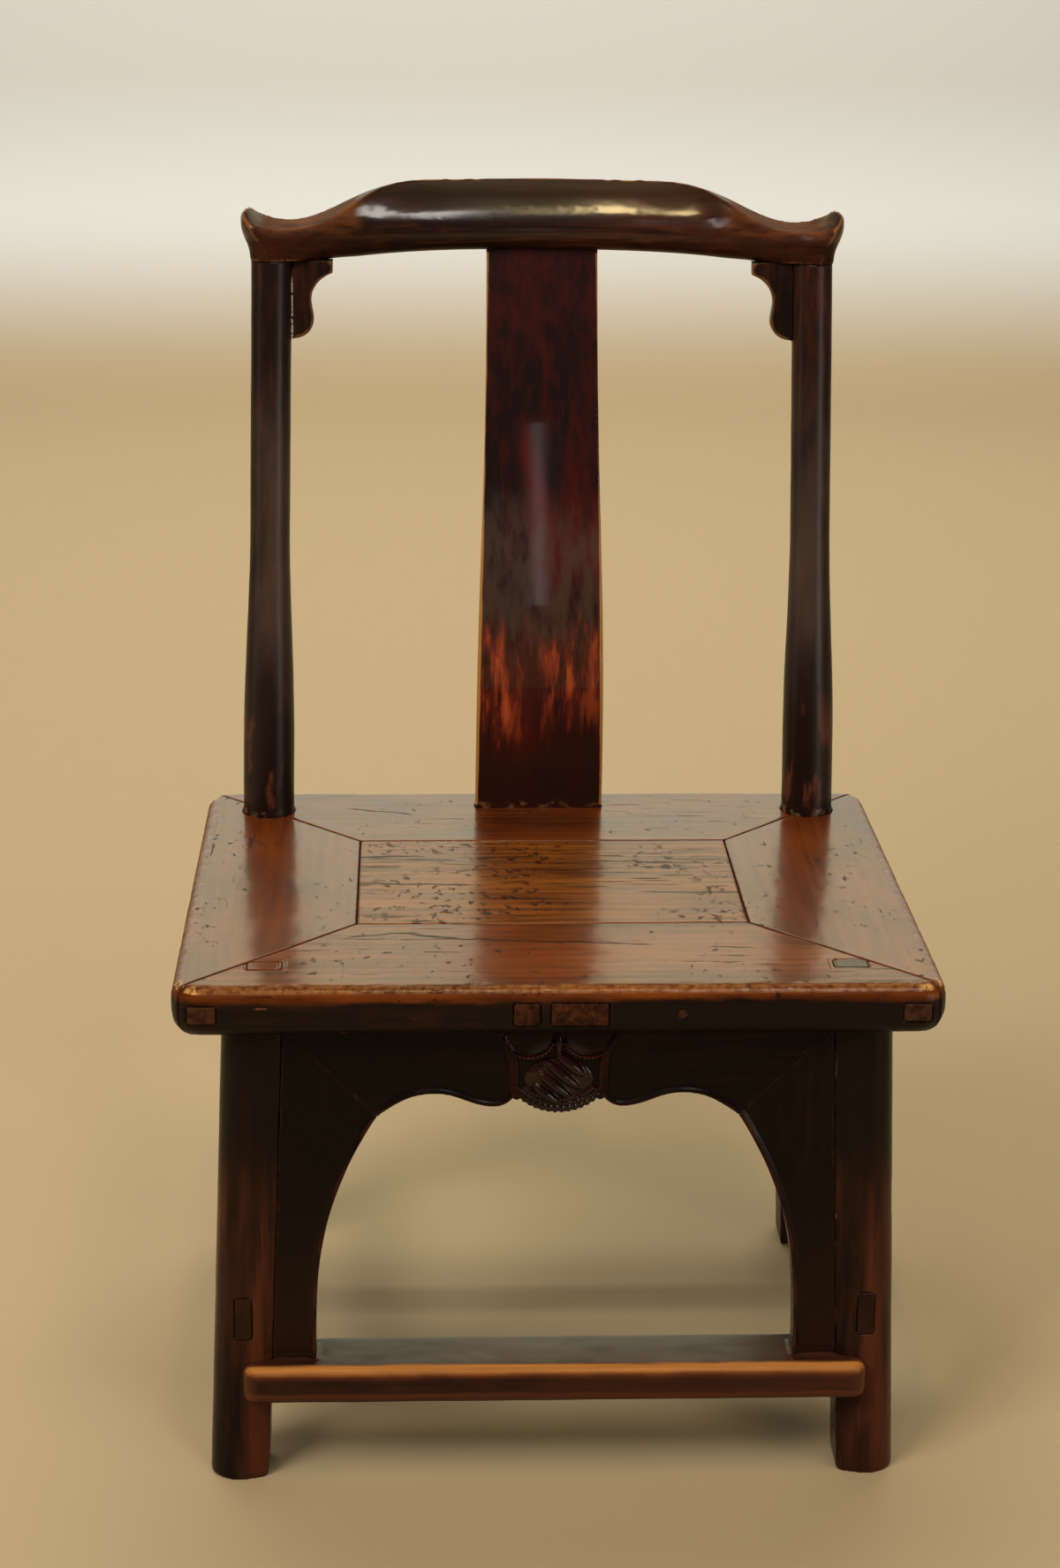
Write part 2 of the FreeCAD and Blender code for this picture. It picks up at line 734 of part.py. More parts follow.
def crest_bracket(post):
    """Right bracket under the crest rail, with a stepped, waisted and lobed outline, fitted to the post."""
    inner = post_top_x - post_top_diameter / 2
    slope = (post_axis(post_height).y - post_axis(post_height - bracket_height).y) / bracket_height

    def at(out, down):
        y = post_top_y - slope * down - bracket_thickness / 2
        return V(inner - out, y, post_top - down)

    axis = -post_top_diameter / 2
    waist_down = bracket_height * 0.5
    lobe_down = bracket_height * 0.74
    bend = (waist_down - bracket_step) / 2
    edges = [
        line(at(axis, 0), at(bracket_width, 0)),
        line(at(bracket_width, 0), at(bracket_width, bracket_step)),
        bezier(at(bracket_width, bracket_step),
               at((bracket_width + bracket_waist) / 2, bracket_step + bend / 4),
               at(bracket_waist, bracket_step + bend), at(bracket_waist, waist_down)),
        bezier(at(bracket_waist, waist_down), at(bracket_waist, waist_down + bend / 2),
               at(bracket_lobe, lobe_down - bend / 2), at(bracket_lobe, lobe_down)),
        bezier(at(bracket_lobe, lobe_down), at(bracket_lobe, lobe_down + bend),
               at(bracket_lobe / 2, bracket_height), at(0, bracket_height)),
        line(at(0, bracket_height), at(axis, bracket_height)),
        line(at(axis, bracket_height), at(axis, 0)),
    ]
    plate = Part.Face(Part.Wire(edges)).extrude(V(0, bracket_thickness, 0))
    return plate.cut(post)


# Assembly

def build():
    """Every piece by its name, in place, with Y measured from the middle of the seat."""
    slab = seat_slab()
    splat = splat_solid(0)
    splat_mortise = splat_solid(fit_clearance)
    front_rail, rear_rail, right_rail = seat_rails(slab, splat_mortise)
    leg_blank = front_leg_blank()
    rear_blank = rear_leg_blank()
    other_rear = mirrored(rear_blank)

    side_start = V(front_leg_x(side_stretcher_level), front_leg_y(side_stretcher_level), side_stretcher_level)
    side_end = V(rear_leg_x(side_stretcher_level), rear_leg_y(side_stretcher_level), side_stretcher_level)
    right_stretcher, side_mortise = stretcher(side_start, side_end, "y", leg_blank, rear_blank)
    rear_end = V(rear_leg_x(rear_stretcher_level), rear_leg_y(rear_stretcher_level), rear_stretcher_level)
    rear_start = V(-rear_end.x, rear_end.y, rear_end.z)
    back_stretcher, rear_mortise = stretcher(rear_start, rear_end, "x", other_rear, rear_blank)

    foot_board = footrest(leg_blank)
    right_leg = leg_blank.cut(side_mortise).cut(footrest_tenon(fit_clearance))
    right_leg = right_leg.fuse(leg_tenon(0)).removeSplitter()
    upper = post_upper()
    right_post = rear_blank.fuse(upper).cut(side_mortise).cut(rear_mortise).removeSplitter()
    rail = crest_rail(splat_mortise)
    right_bracket = crest_bracket(upper)

    pieces = {
        "seat_front_rail": front_rail,
        "seat_rear_rail": rear_rail,
        "seat_panel": seat_panel(),
        "seat_brace": seat_brace(slab),
        "front_rail_peg": seat_peg_rod(0).common(slab),
        "crest_rail": rail,
        "back_splat": splat,
        "front_apron": front_apron(),
        "rear_apron": rear_apron(),
        "footrest": foot_board,
        "rear_stretcher": back_stretcher,
    }
    pairs = {
        "seat_{}_rail": right_rail,
        "front_{}_leg": right_leg,
        "rear_{}_post": right_post,
        "{}_crest_bracket": right_bracket,
        "front_{}_bracket_board": apron_bracket_board(),
        "{}_side_apron": side_apron(),
        "{}_stretcher": right_stretcher,
    }
    for name, shape in pairs.items():
        pieces[name.format("right")] = shape
        pieces[name.format("left")] = mirrored(shape)
    return pieces


def origin_shift():
    """Move that puts the origin on the floor under the middle of the whole chair."""
    back = post_top_y + crest_bow + crest_depth / 2
    return V(0, -(footrest_front() + back) / 2, 0)


os.makedirs("parts", exist_ok=True)
shift = origin_shift()
for node, piece in build().items():
    piece.translate(shift)
    piece.exportStep("parts/" + node + ".step")
    print(node, "solids", len(piece.Solids), "valid", piece.isValid(), "volume", round(piece.Volume))
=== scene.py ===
# %% [markdown]
# A low side chair with a yoke-shaped crest rail, in old lacquered wood. The construction comes from the
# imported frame: every rail, leg and board is there at its real size, and this script never moves them. What
# is left to do here is what the eye reads as age: softened edges, dents and splits, the lacquer with its
# depth and its worn places, the carving on the apron, and the light that shows it all.

# %% Load the frame
import bpy
import math
import numpy as np
from mathutils import Matrix, Vector
from mathutils.bvhtree import BVHTree
from mathutils.geometry import interpolate_bezier


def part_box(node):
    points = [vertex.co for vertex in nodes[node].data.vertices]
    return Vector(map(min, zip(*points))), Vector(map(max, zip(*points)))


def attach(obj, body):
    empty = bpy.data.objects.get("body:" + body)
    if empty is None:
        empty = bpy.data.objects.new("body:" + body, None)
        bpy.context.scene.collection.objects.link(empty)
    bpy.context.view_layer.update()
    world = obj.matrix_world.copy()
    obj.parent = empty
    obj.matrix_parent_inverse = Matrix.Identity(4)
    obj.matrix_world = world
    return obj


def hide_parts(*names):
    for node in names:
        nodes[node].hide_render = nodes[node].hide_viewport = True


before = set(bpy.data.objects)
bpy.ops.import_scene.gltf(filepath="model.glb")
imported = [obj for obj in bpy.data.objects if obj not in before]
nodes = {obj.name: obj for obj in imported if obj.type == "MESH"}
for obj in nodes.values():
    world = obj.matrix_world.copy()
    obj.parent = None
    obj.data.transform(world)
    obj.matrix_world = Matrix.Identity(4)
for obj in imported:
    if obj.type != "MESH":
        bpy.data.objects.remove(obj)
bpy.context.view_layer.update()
MM = 0.001

# %% [markdown]
# The camera comes first, because everything after it is judged through it. A chair's straight seat edges
# and its upright posts tell where the camera stood: a little to the left of the middle, looking down by 18
# degrees from almost a metre up. The place and the angles below were worked out from such edges. A camera
# in Blender looks along its own -Z with +Y up, so the three axes are built from the angles and put in a
# matrix.

# %% Camera
IMAGE_HEIGHT = 1775
FOCAL_PIXELS = 3315.4
SENSOR = 36.0
CAMERA_PLACE = Vector((-0.0829, -1.6963, 0.9278))
CAMERA_YAW = math.radians(2.425)
CAMERA_PITCH = math.radians(18.138)
CAMERA_ROLL = math.radians(-0.65)


def photo_camera():
    """A camera at the photograph's place, with the sensor width along the image's long side."""
    forward = Vector((math.sin(CAMERA_YAW) * math.cos(CAMERA_PITCH),
                      math.cos(CAMERA_YAW) * math.cos(CAMERA_PITCH), -math.sin(CAMERA_PITCH)))
    level = Vector((math.cos(CAMERA_YAW), -math.sin(CAMERA_YAW), 0))
    down = forward.cross(level)
    right = math.cos(CAMERA_ROLL) * level + math.sin(CAMERA_ROLL) * down
    up = math.sin(CAMERA_ROLL) * level - math.cos(CAMERA_ROLL) * down
    data = bpy.data.cameras.new("photo_camera")
    data.sensor_width = SENSOR
    data.lens = FOCAL_PIXELS * SENSOR / IMAGE_HEIGHT
    camera = bpy.data.objects.new("photo_camera", data)
    bpy.context.scene.collection.objects.link(camera)
    turn = Matrix((right, up, -forward)).transposed()
    camera.matrix_world = Matrix.Translation(CAMERA_PLACE) @ turn.to_4x4()
    bpy.context.scene.camera = camera
    return camera


camera = photo_camera()
print("lens in mm", round(camera.data.lens, 2))

# %% [markdown]
# Generations of hands leave no edge sharp. A Bevel modifier would round each edge alike, and it stumbles on
# the narrow triangles of a CAD mesh. Here each piece is copied, its loose triangles are merged, and a voxel
# remesh gives it an even skin of small squares. A few rounds of smoothing then wear the edges down and open
# the joints to fine grooves, as in the real chair, and a weak cloud texture leaves the marks of a hand
# plane. Nearly all of it takes wood away, so the chair keeps its size.

# %% Reading a skin
def skin_of(piece):
    """Places, normals and edges of a mesh as arrays."""
    mesh = piece.data
    places = np.empty(len(mesh.vertices) * 3)
    normals = np.empty(len(mesh.vertices) * 3)
    ends = np.empty(len(mesh.edges) * 2, dtype=np.int64)
    mesh.vertices.foreach_get("co", places)
    mesh.vertex_normals.foreach_get("vector", normals)
    mesh.edges.foreach_get("vertices", ends)
    return places.reshape(-1, 3), normals.reshape(-1, 3), ends.reshape(-1, 2)


def neighbour_mean(values, ends):
    """For each vertex the mean value of the vertices that an edge joins to it."""
    first, second = ends.T
    count = len(values)
    links = np.bincount(first, minlength=count) + np.bincount(second, minlength=count)
    total = np.bincount(first, values[second], count) + np.bincount(second, values[first], count)
    return total / links


def spread(values, ends, rounds):
    """Lets a value bleed along the skin, one edge further with each round."""
    for _ in range(rounds):
        values = 0.5 * values + 0.5 * neighbour_mean(values, ends)
    return values


line_of_three = neighbour_mean(np.array([0.0, 3.0, 6.0]), np.array([[0, 1], [1, 2]]))
print("neighbour means on a line of three", line_of_three)

# %% [markdown]
# No hand reaches the places where a piece lies against its neighbour, so those are found first: a search
# tree is built from the neighbours' triangles, and each vertex asks it whether one is near.

# %% Where a piece touches its neighbours
JOINT_REACH = 1.6 * MM
boxes = {name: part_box(name) for name in nodes}


def boxes_meet(first, second, reach):
    """True where two boxes overlap or lie within reach of each other."""
    return all(first[0][axis] - reach < second[1][axis] and second[0][axis] - reach < first[1][axis]
               for axis in range(3))


def touching(name, places):
    """1 where a place lies near another node, 0 elsewhere."""
    points, triangles = [], []
    for other, node in nodes.items():
        if other != name and boxes_meet(boxes[name], boxes[other], JOINT_REACH):
            start = len(points)
            points += [vertex.co for vertex in node.data.vertices]
            triangles += [[start + v for v in face.vertices] for face in node.data.polygons]
    tree = BVHTree.FromPolygons(points, triangles)
    return np.array([tree.find_nearest(place, JOINT_REACH)[0] is not None for place in places], float)


panel = boxes["seat_panel"]
near_panel = [name for name in nodes if name != "seat_panel" and boxes_meet(panel, boxes[name], JOINT_REACH)]
print("near the seat panel", near_panel)

# %% [markdown]
# Where the lacquer wears through depends on where the wood stands proud. The skin itself knows that: at a
# convex edge a vertex lies outside the mean of its neighbours, in a groove inside it. That number is kept
# on the mesh as an attribute, once for free edges and once for grooves and joints, and the finishes read it
# later.

# %% Edges and grooves
WEAR_REACH = 4.0 * MM
HELD_ROUNDS = 3


def mark_edges(piece, voxel, touch):
    """Stores how far each place stands out (edge) or lies in a corner or a joint (groove)."""
    places, normals, ends = skin_of(piece)
    mean = np.stack([neighbour_mean(places[:, axis], ends) for axis in range(3)], 1)
    stands_out = ((places - mean) * normals).sum(1) / voxel
    proud = np.clip(stands_out, 0, None)
    held = spread(touch, ends, HELD_ROUNDS)
    rounds = int((WEAR_REACH / voxel) ** 2 / 2) + 2
    edge = spread(proud * (1 - held), ends, rounds) * math.sqrt(rounds) * 2 * (1 - held)
    groove = spread(np.clip(-stands_out, 0, None) + proud * touch, ends, 1)
    for name, values in (("edge", edge), ("groove", groove)):
        piece.data.attributes.new(name, "FLOAT", "POINT").data.foreach_set("value", values)


print("wear reaches mm", WEAR_REACH / MM)

# %% [markdown]
# Wear takes wood away unevenly. A hand plane leaves broad, shallow waves, and knocks leave chips along the
# edges. Both could be sculpted by hand. Here each is a cloud texture that a Displace modifier presses into
# the skin, and the chips only where a vertex group says that a free edge stands out.

# %% Marks of plane and knocks
PLANE_MARKS = bpy.data.textures.new("plane_marks", "CLOUDS")
PLANE_MARKS.noise_scale = 35 * MM
CHIP_MARKS = bpy.data.textures.new("chip_marks", "CLOUDS")
CHIP_MARKS.noise_scale = 8 * MM
CHIP_MARKS.use_color_ramp = True
for stop, (position, value) in zip(CHIP_MARKS.color_ramp.elements, ((0.32, 0.0), (0.48, 1.0))):
    stop.position = position
    stop.color = (value, value, value, 1.0)
CHIP_LEVELS = 5
CHIP_STEP = 0.08


def add_modifier(piece, kind, **settings):
    """Adds a modifier, sets it and applies it."""
    modifier = piece.modifiers.new(kind.lower(), kind)
    for key, value in settings.items():
        setattr(modifier, key, value)
    bpy.ops.object.modifier_apply(modifier=modifier.name)


def select_only(piece):
    """Makes a piece the only selected one, and the active one."""
    bpy.ops.object.select_all(action="DESELECT")
    piece.select_set(True)
    bpy.context.view_layer.objects.active = piece


def edge_group(piece):
    """A vertex group that is strong where a free edge stands out."""
    edge = np.empty(len(piece.data.vertices))
    piece.data.attributes["edge"].data.foreach_get("value", edge)
    group = piece.vertex_groups.new(name="edges")
    for level in range(1, CHIP_LEVELS + 1):
        group.add(np.flatnonzero(edge > level * CHIP_STEP).tolist(), level / CHIP_LEVELS, "REPLACE")
    return group.name


print("marks", PLANE_MARKS.name, CHIP_MARKS.name)

# %% Worn copy of a node
MERGE_REACH = 0.01 * MM
HELD_SHARE = 0.1


def worn_copy(name, voxel, unevenness, rounds, chips):
    """A copy of a node with an even skin and softened edges, which stands for the node."""
    piece = bpy.data.objects.new("worn_" + name, nodes[name].data.copy())
    bpy.context.scene.collection.objects.link(piece)
    select_only(piece)
    bpy.ops.object.mode_set(mode="EDIT")
    bpy.ops.mesh.select_all(action="SELECT")
    bpy.ops.mesh.remove_doubles(threshold=MERGE_REACH)
    bpy.ops.object.mode_set(mode="OBJECT")
    add_modifier(piece, "REMESH", mode="VOXEL", voxel_size=voxel, use_smooth_shade=True)
    touch = touching(name, skin_of(piece)[0])
    mark_edges(piece, voxel, touch)
    free = piece.vertex_groups.new(name="free")
    free.add(np.flatnonzero(touch == 0).tolist(), 1.0, "REPLACE")
    free.add(np.flatnonzero(touch).tolist(), HELD_SHARE, "REPLACE")
    add_modifier(piece, "SMOOTH", factor=0.5, iterations=rounds, vertex_group="free")
    add_modifier(piece, "DISPLACE", texture=PLANE_MARKS, texture_coords="LOCAL", mid_level=1.0,
                 strength=unevenness, vertex_group="free")
    if chips:
        add_modifier(piece, "DISPLACE", texture=CHIP_MARKS, texture_coords="LOCAL", mid_level=1.0,
                     strength=chips, vertex_group=edge_group(piece))
    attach(piece, "root")
    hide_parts(name)
    return piece


# %% [markdown]
# The apron's pendant is carved as a hanging bundle: a fluted fringe along its lower edge, a cord and a
# string of beads over it, a basket wound with slanting bands, two leaves with a stem between them, and a
# bead that climbs from each notch. A carver rounds one swelling after another out of the board. Here each
# swelling is a sphere, added in edit mode, stretched and turned on the apron's face, and a voxel remesh
# melts them into one skin. Places and sizes are in millimetres, in the front view: x to the right and z up
# from the floor.

# %% The apron's face
FACE_LOW, FACE_HIGH = 240, 275
BOARD_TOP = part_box("front_apron")[1].z


def face_hit(z):
    """How far back the apron's front lies at a height, on the chair's middle."""
    return nodes["front_apron"].ray_cast((0, -1, z * MM), (0, 1, 0))[1].y


FACE_Y = face_hit(FACE_LOW)
FACE_SLOPE = (face_hit(FACE_HIGH) - FACE_Y) / (FACE_HIGH - FACE_LOW)
print("apron face mm", round(FACE_Y / MM, 2), "slope in mm per mm", round(FACE_SLOPE / MM, 4))


def swelling(x, z, half_length, half_width, relief, turn=0.0):
    """A sphere, half sunk in the apron's face, stretched and then turned clockwise in the front view."""
    bpy.ops.mesh.primitive_uv_sphere_add(
        segments=16, ring_count=10, radius=1, rotation=(0, turn, 0),
        location=(x * MM, FACE_Y + FACE_SLOPE * (z - FACE_LOW), z * MM),
        scale=(half_length * MM, relief * MM, half_width * MM))


# %% The basket with its fringe
PENDANT_RADIUS = 33.8
PENDANT_CENTRE = 263.8
FRINGE_INSET = 3.4
RIM_CENTRE = 268.8
CORD_RADIUS = 32.2
BEADS_RADIUS = 30.1
BASKET = (0, 251)
BAND_OFFSETS = (-11.5, -4, 3.5, 11)
BAND_REACH = 17
BAND_TURN = math.radians(40)


def along_arc(radius, centre, half_angle, count):
    """Places on an arc that hangs from both sides of the middle, and the angle at each."""
    for step in range(count):
        angle = math.radians(half_angle) * (2 * step / (count - 1) - 1)
        yield radius * math.sin(angle), centre - radius * math.cos(angle), angle


def carve_basket():
    """Flutes along the lower edge, a cord and beads above them, and the basket with its slanting bands."""
    for x, z, angle in along_arc(PENDANT_RADIUS - FRINGE_INSET, PENDANT_CENTRE, 44, 14):
        swelling(x, z, 3.3, 2.3, 2.6, math.pi / 2 - angle)
    for x, z, angle in along_arc(CORD_RADIUS, RIM_CENTRE, 41, 20):
        swelling(x, z, 1.8, 0.9, 2.8, -angle)
    for x, z, _ in along_arc(BEADS_RADIUS, RIM_CENTRE, 40, 22):
        swelling(x, z, 1.1, 1.1, 3.4)
    swelling(*BASKET, 20, 13, 2.6)
    for offset in BAND_OFFSETS:
        fullness = math.sqrt(1 - (offset / BAND_REACH) ** 2)
        swelling(BASKET[0] + offset * math.sin(BAND_TURN), BASKET[1] + offset * math.cos(BAND_TURN),
                 14.5 * fullness, 3.7, 2.2 + 3.6 * fullness, BAND_TURN)


# %% The leaves and side beads
LEAF_ASIDE, LEAF_HEIGHT = 17, 277
LEAF_RIM = (14.5, 13)
RIM_STEPS = 16
SIDE_BEAD = ((23.8, 241), (29, 252), (19, 260), (36, 281))
STEM_HEIGHT = 272


def carve_leaf(side):
    """One leaf with a raised lower rim, and the bead beside it, on the side given by a sign."""
    swelling(side * LEAF_ASIDE, LEAF_HEIGHT, 14, 12, 1.5)
    for step in range(RIM_STEPS):
        angle = math.radians(190 + 10 * step)
        x = side * (LEAF_ASIDE - LEAF_RIM[0] * math.cos(angle))
        z = LEAF_HEIGHT + LEAF_RIM[1] * math.sin(angle)
        swelling(x, z, 1.5, 1.2, 2.9, side * angle)
    for x, z in interpolate_bezier(*((side * x, z) for x, z in SIDE_BEAD), 24):
        swelling(x, z, 2.9, 2.9, 1.7)


# %% The whole carving
CARVING_VOXEL = 0.4 * MM


def carving():
    """All swellings in one mesh, melted into one skin and cut level with the top of the board."""
    bpy.ops.object.select_all(action="DESELECT")
    bpy.ops.mesh.primitive_uv_sphere_add(radius=1, location=(0, 0, 0))
    piece = bpy.context.object
    piece.name = "apron_carving"
    bpy.ops.object.mode_set(mode="EDIT")
    bpy.ops.mesh.select_all(action="SELECT")
    bpy.ops.mesh.delete(type="VERT")
    carve_basket()
    swelling(0, STEM_HEIGHT, 8, 2.2, 3.6, math.pi / 2)
    carve_leaf(-1)
    carve_leaf(1)
    bpy.ops.object.mode_set(mode="OBJECT")
    add_modifier(piece, "REMESH", mode="VOXEL", voxel_size=CARVING_VOXEL, use_smooth_shade=True)
    bpy.ops.object.mode_set(mode="EDIT")
    bpy.ops.mesh.select_all(action="SELECT")
    bpy.ops.mesh.bisect(plane_co=(0, 0, BOARD_TOP), plane_no=(0, 0, 1), clear_outer=True, use_fill=True)
    bpy.ops.object.mode_set(mode="OBJECT")
    add_modifier(piece, "SMOOTH", factor=0.5, iterations=2)
    mark_edges(piece, CARVING_VOXEL, np.zeros(len(piece.data.vertices)))
    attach(piece, "root")
    return piece


pendant = carving()
print("carving squares", len(pendant.data.polygons))

# %% [markdown]
# Now every node gets its worn copy. Small and finely shaped pieces have a finer skin, hidden ones a coarser
# one. The splat and the crest rail were scraped smooth and show almost no plane marks, and only the seat's
# rails are chipped.

# %% Wear every piece
FINE = 1.0 * MM
EVEN = 1.3 * MM
COARSE = 1.6 * MM
SKINS = {
    "crest_rail": FINE, "back_splat": 0.9 * MM, "left_crest_bracket": FINE, "right_crest_bracket": FINE,
    "rear_left_post": EVEN, "rear_right_post": EVEN, "front_left_leg": EVEN, "front_right_leg": EVEN,
    "seat_front_rail": EVEN, "seat_rear_rail": EVEN, "seat_left_rail": EVEN, "seat_right_rail": EVEN,
    "seat_panel": EVEN, "front_rail_peg": 0.4 * MM, "front_apron": 0.8 * MM,
    "front_left_bracket_board": FINE, "front_right_bracket_board": FINE, "footrest": EVEN,
    "left_stretcher": EVEN, "right_stretcher": EVEN, "rear_stretcher": EVEN,
    "left_side_apron": COARSE, "right_side_apron": COARSE, "rear_apron": COARSE, "seat_brace": COARSE,
}
CHIPPED = {
    "seat_front_rail": 0.9 * MM, "seat_rear_rail": 0.9 * MM, "seat_left_rail": 1.6 * MM,
    "seat_right_rail": 1.6 * MM,
}
PLANED = 0.5 * MM
SCRAPED = {"back_splat": 0.002 * MM, "crest_rail": 0.12 * MM}
ROUNDS = 4
MORE_ROUNDS = {"back_splat": 14}
worn = {name: worn_copy(name, voxel, SCRAPED.get(name, PLANED), MORE_ROUNDS.get(name, ROUNDS),
                        CHIPPED.get(name, 0.0))
        for name, voxel in SKINS.items()}
faces = {name: len(piece.data.polygons) for name, piece in worn.items()}
print("squares in all", sum(faces.values()), "most", max(faces, key=faces.get), max(faces.values()))
worn["apron_carving"] = pendant

# %% [markdown]
# The splat is a bent board, and in the frame's mesh its bend is a row of narrow flats. On a dull piece they
# wouldn't show, but the splat mirrors a lamp, and each flat would break its gleam. More smoothing would
# also melt the edges. So one curve is fitted through the places on the front and one through those on the
# back, and the places move to it: the one smooth bend that a scraper leaves.

# %% One smooth bend for the splat
BEND_DEGREE = 9
FACING = 0.9


def true_faces(piece):
    """Moves the places on the front and the back of a bent board to one smooth bend each."""
    places, normals, _ = skin_of(piece)
    for side in (-1, 1):
        face = normals[:, 1] * side > FACING
        bend = np.polynomial.Polynomial.fit(places[face, 2], places[face, 1], BEND_DEGREE)
        moved = bend(places[face, 2]) - places[face, 1]
        places[face, 1] += moved
        moved = np.abs(moved) / MM
        print("face trued by mm", round(moved.mean(), 3), "most", round(moved.max(), 3))
    piece.data.vertices.foreach_set("co", places.ravel())
    piece.data.update()


true_faces(worn["back_splat"])

# %% [markdown]
# The finishes are written as sums and products in Python. This small class wraps one output of a node, and
# each operator adds a Math node, so that `1 - wear` or `grain * 0.3 + stain` read like the thoughts behind
# them. All other nodes come from one method, which sets the node's own choices first and then its inputs.

# %% Shader maths
class Wire:
    """One output of a node in a finish. Python's operators on it add Math nodes."""

    def __init__(self, finish, socket):
        self.finish = finish
        self.socket = socket

    def math(self, operation, first, second):
        return self.finish.node("Math", {"operation": operation}, {0: first, 1: second})

    def __add__(self, other):
        return self.math("ADD", self, other)

    def __radd__(self, other):
        return self.math("ADD", other, self)

    def __sub__(self, other):
        return self.math("SUBTRACT", self, other)

    def __rsub__(self, other):
        return self.math("SUBTRACT", other, self)

    def __mul__(self, other):
        return self.math("MULTIPLY", self, other)

    def __rmul__(self, other):
        return self.math("MULTIPLY", other, self)

    def at_least(self, other):
        return self.math("MAXIMUM", self, other)

    def size(self):
        return self.math("ABSOLUTE", self, 0.0)


# %% [markdown]
# A finish starts with what most layers ask for: the place on the piece, and the two attributes that say
# where an edge stands out and where a groove lies. Small methods then name the steps that come back in
# every finish: noise drawn out along the grain, a soft step, a band, a colour mix, a split in the wood and
# a relief.

# %% A finish
class Finish:
    """A material with one Principled shader, and the nodes that feed it."""

    def __init__(self, name):
        self.material = bpy.data.materials.new(name)
        self.material.use_nodes = True
        self.tree = self.material.node_tree
        self.shader = self.tree.nodes["Principled BSDF"]
        self.place = self.node("TexCoord", {}, {}, "Object")
        self.x, self.y, self.z = (self.node("SeparateXYZ", {}, {0: self.place}, axis) for axis in "XYZ")
        self.edge, self.groove = (self.node("Attribute", {"attribute_name": mark}, {}, "Fac")
                                  for mark in ("edge", "groove"))

    def node(self, kind, choices, inputs, output=0):
        """Adds a node, sets its choices, then its inputs by name or number, and wraps one of its outputs."""
        node = self.tree.nodes.new("ShaderNode" + kind)
        for key, value in choices.items():
            setattr(node, key, value)
        for key, value in inputs.items():
            self.feed(node.inputs[key], value)
        return Wire(self, node.outputs[output])

    def feed(self, socket, value):
        if isinstance(value, Wire):
            self.tree.links.new(value.socket, socket)
        elif hasattr(value, "__len__") and len(socket.default_value) == 4:
            socket.default_value = (*value, 1.0)
        else:
            socket.default_value = value

    def set(self, **inputs):
        """Feeds the shader's own sockets; a name's underscores stand for spaces."""
        for key, value in inputs.items():
            self.feed(self.shader.inputs[key.replace("_", " ")], value)

    def noise(self, scale, stretch=(1, 1, 1), shift=(0, 0, 0), detail=4.0, rough=0.55, warp=0.0):
        """Noise about 0.5, with its scale per metre, drawn out where stretch is below 1."""
        place = self.node("Mapping", {}, {"Vector": self.place, "Location": shift, "Scale": stretch})
        return self.node("TexNoise", {}, {"Vector": place, "Scale": scale, "Detail": detail,
                                          "Roughness": rough, "Distortion": warp})

    def step(self, value, low, high):
        """0 below low, 1 above high, smooth between. With low above high it falls instead."""
        return self.node("MapRange", {"interpolation_type": "SMOOTHSTEP"},
                         {"Value": value, "From Min": low, "From Max": high})

    def band(self, value, low, high, soft):
        """1 between low and high, falling to 0 over soft at each side."""
        return self.step(value, low - soft, low) * self.step(value, high + soft, high)

    def mix(self, share, first, second):
        """Colour mix: first where share is 0, second where it is 1."""
        return self.node("Mix", {"data_type": "RGBA"}, {0: share, 6: first, 7: second}, 2)

    def split(self, start, end, width):
        """A split on a level face from start to end, in metres, wandering a little and thin at its ends."""
        run = Vector(end) - Vector(start)
        length = run.length
        ahead = run / length
        x = self.x - start[0]
        y = self.y - start[1]
        along = (x * ahead.x + y * ahead.y) * (1 / length)
        aside = x * -ahead.y + y * ahead.x + (self.noise(90, detail=2) - 0.5) * 0.006
        return self.band(along, 0.15, 0.85, 0.15) * self.step(aside.size(), width, width * 0.3)

    def bump(self, height, depth):
        """Normal from a height of 0 to 1 that stands for a depth in metres."""
        return self.node("Bump", {}, {"Height": height, "Distance": depth, "Strength": 1.0})


# %% [markdown]
# The lacquer is a dark film over reddish wood. Where it is thick it is almost black; where it has thinned,
# along the grain and in broad patches, the red comes through; at the edges it is gone and the bare wood
# shows. Grain is noise drawn out along the piece. Each finish below starts from this film and lays its own
# colours over it, one layer after another, as a painter glazes.

# %% Lacquer
# Darker colour that the finishes lay in corners, grooves and joints.
GROOVE_DARK = (0.006, 0.004, 0.003)


def drawn_out(share):
    """Stretch factors, by axis, that draw a pattern out along that axis."""
    return {"x": (share, 1, 1), "y": (1, share, 1), "z": (1, 1, share)}


ALONG = drawn_out(0.03)
LOOSE = drawn_out(0.08)
BROAD = drawn_out(0.3)


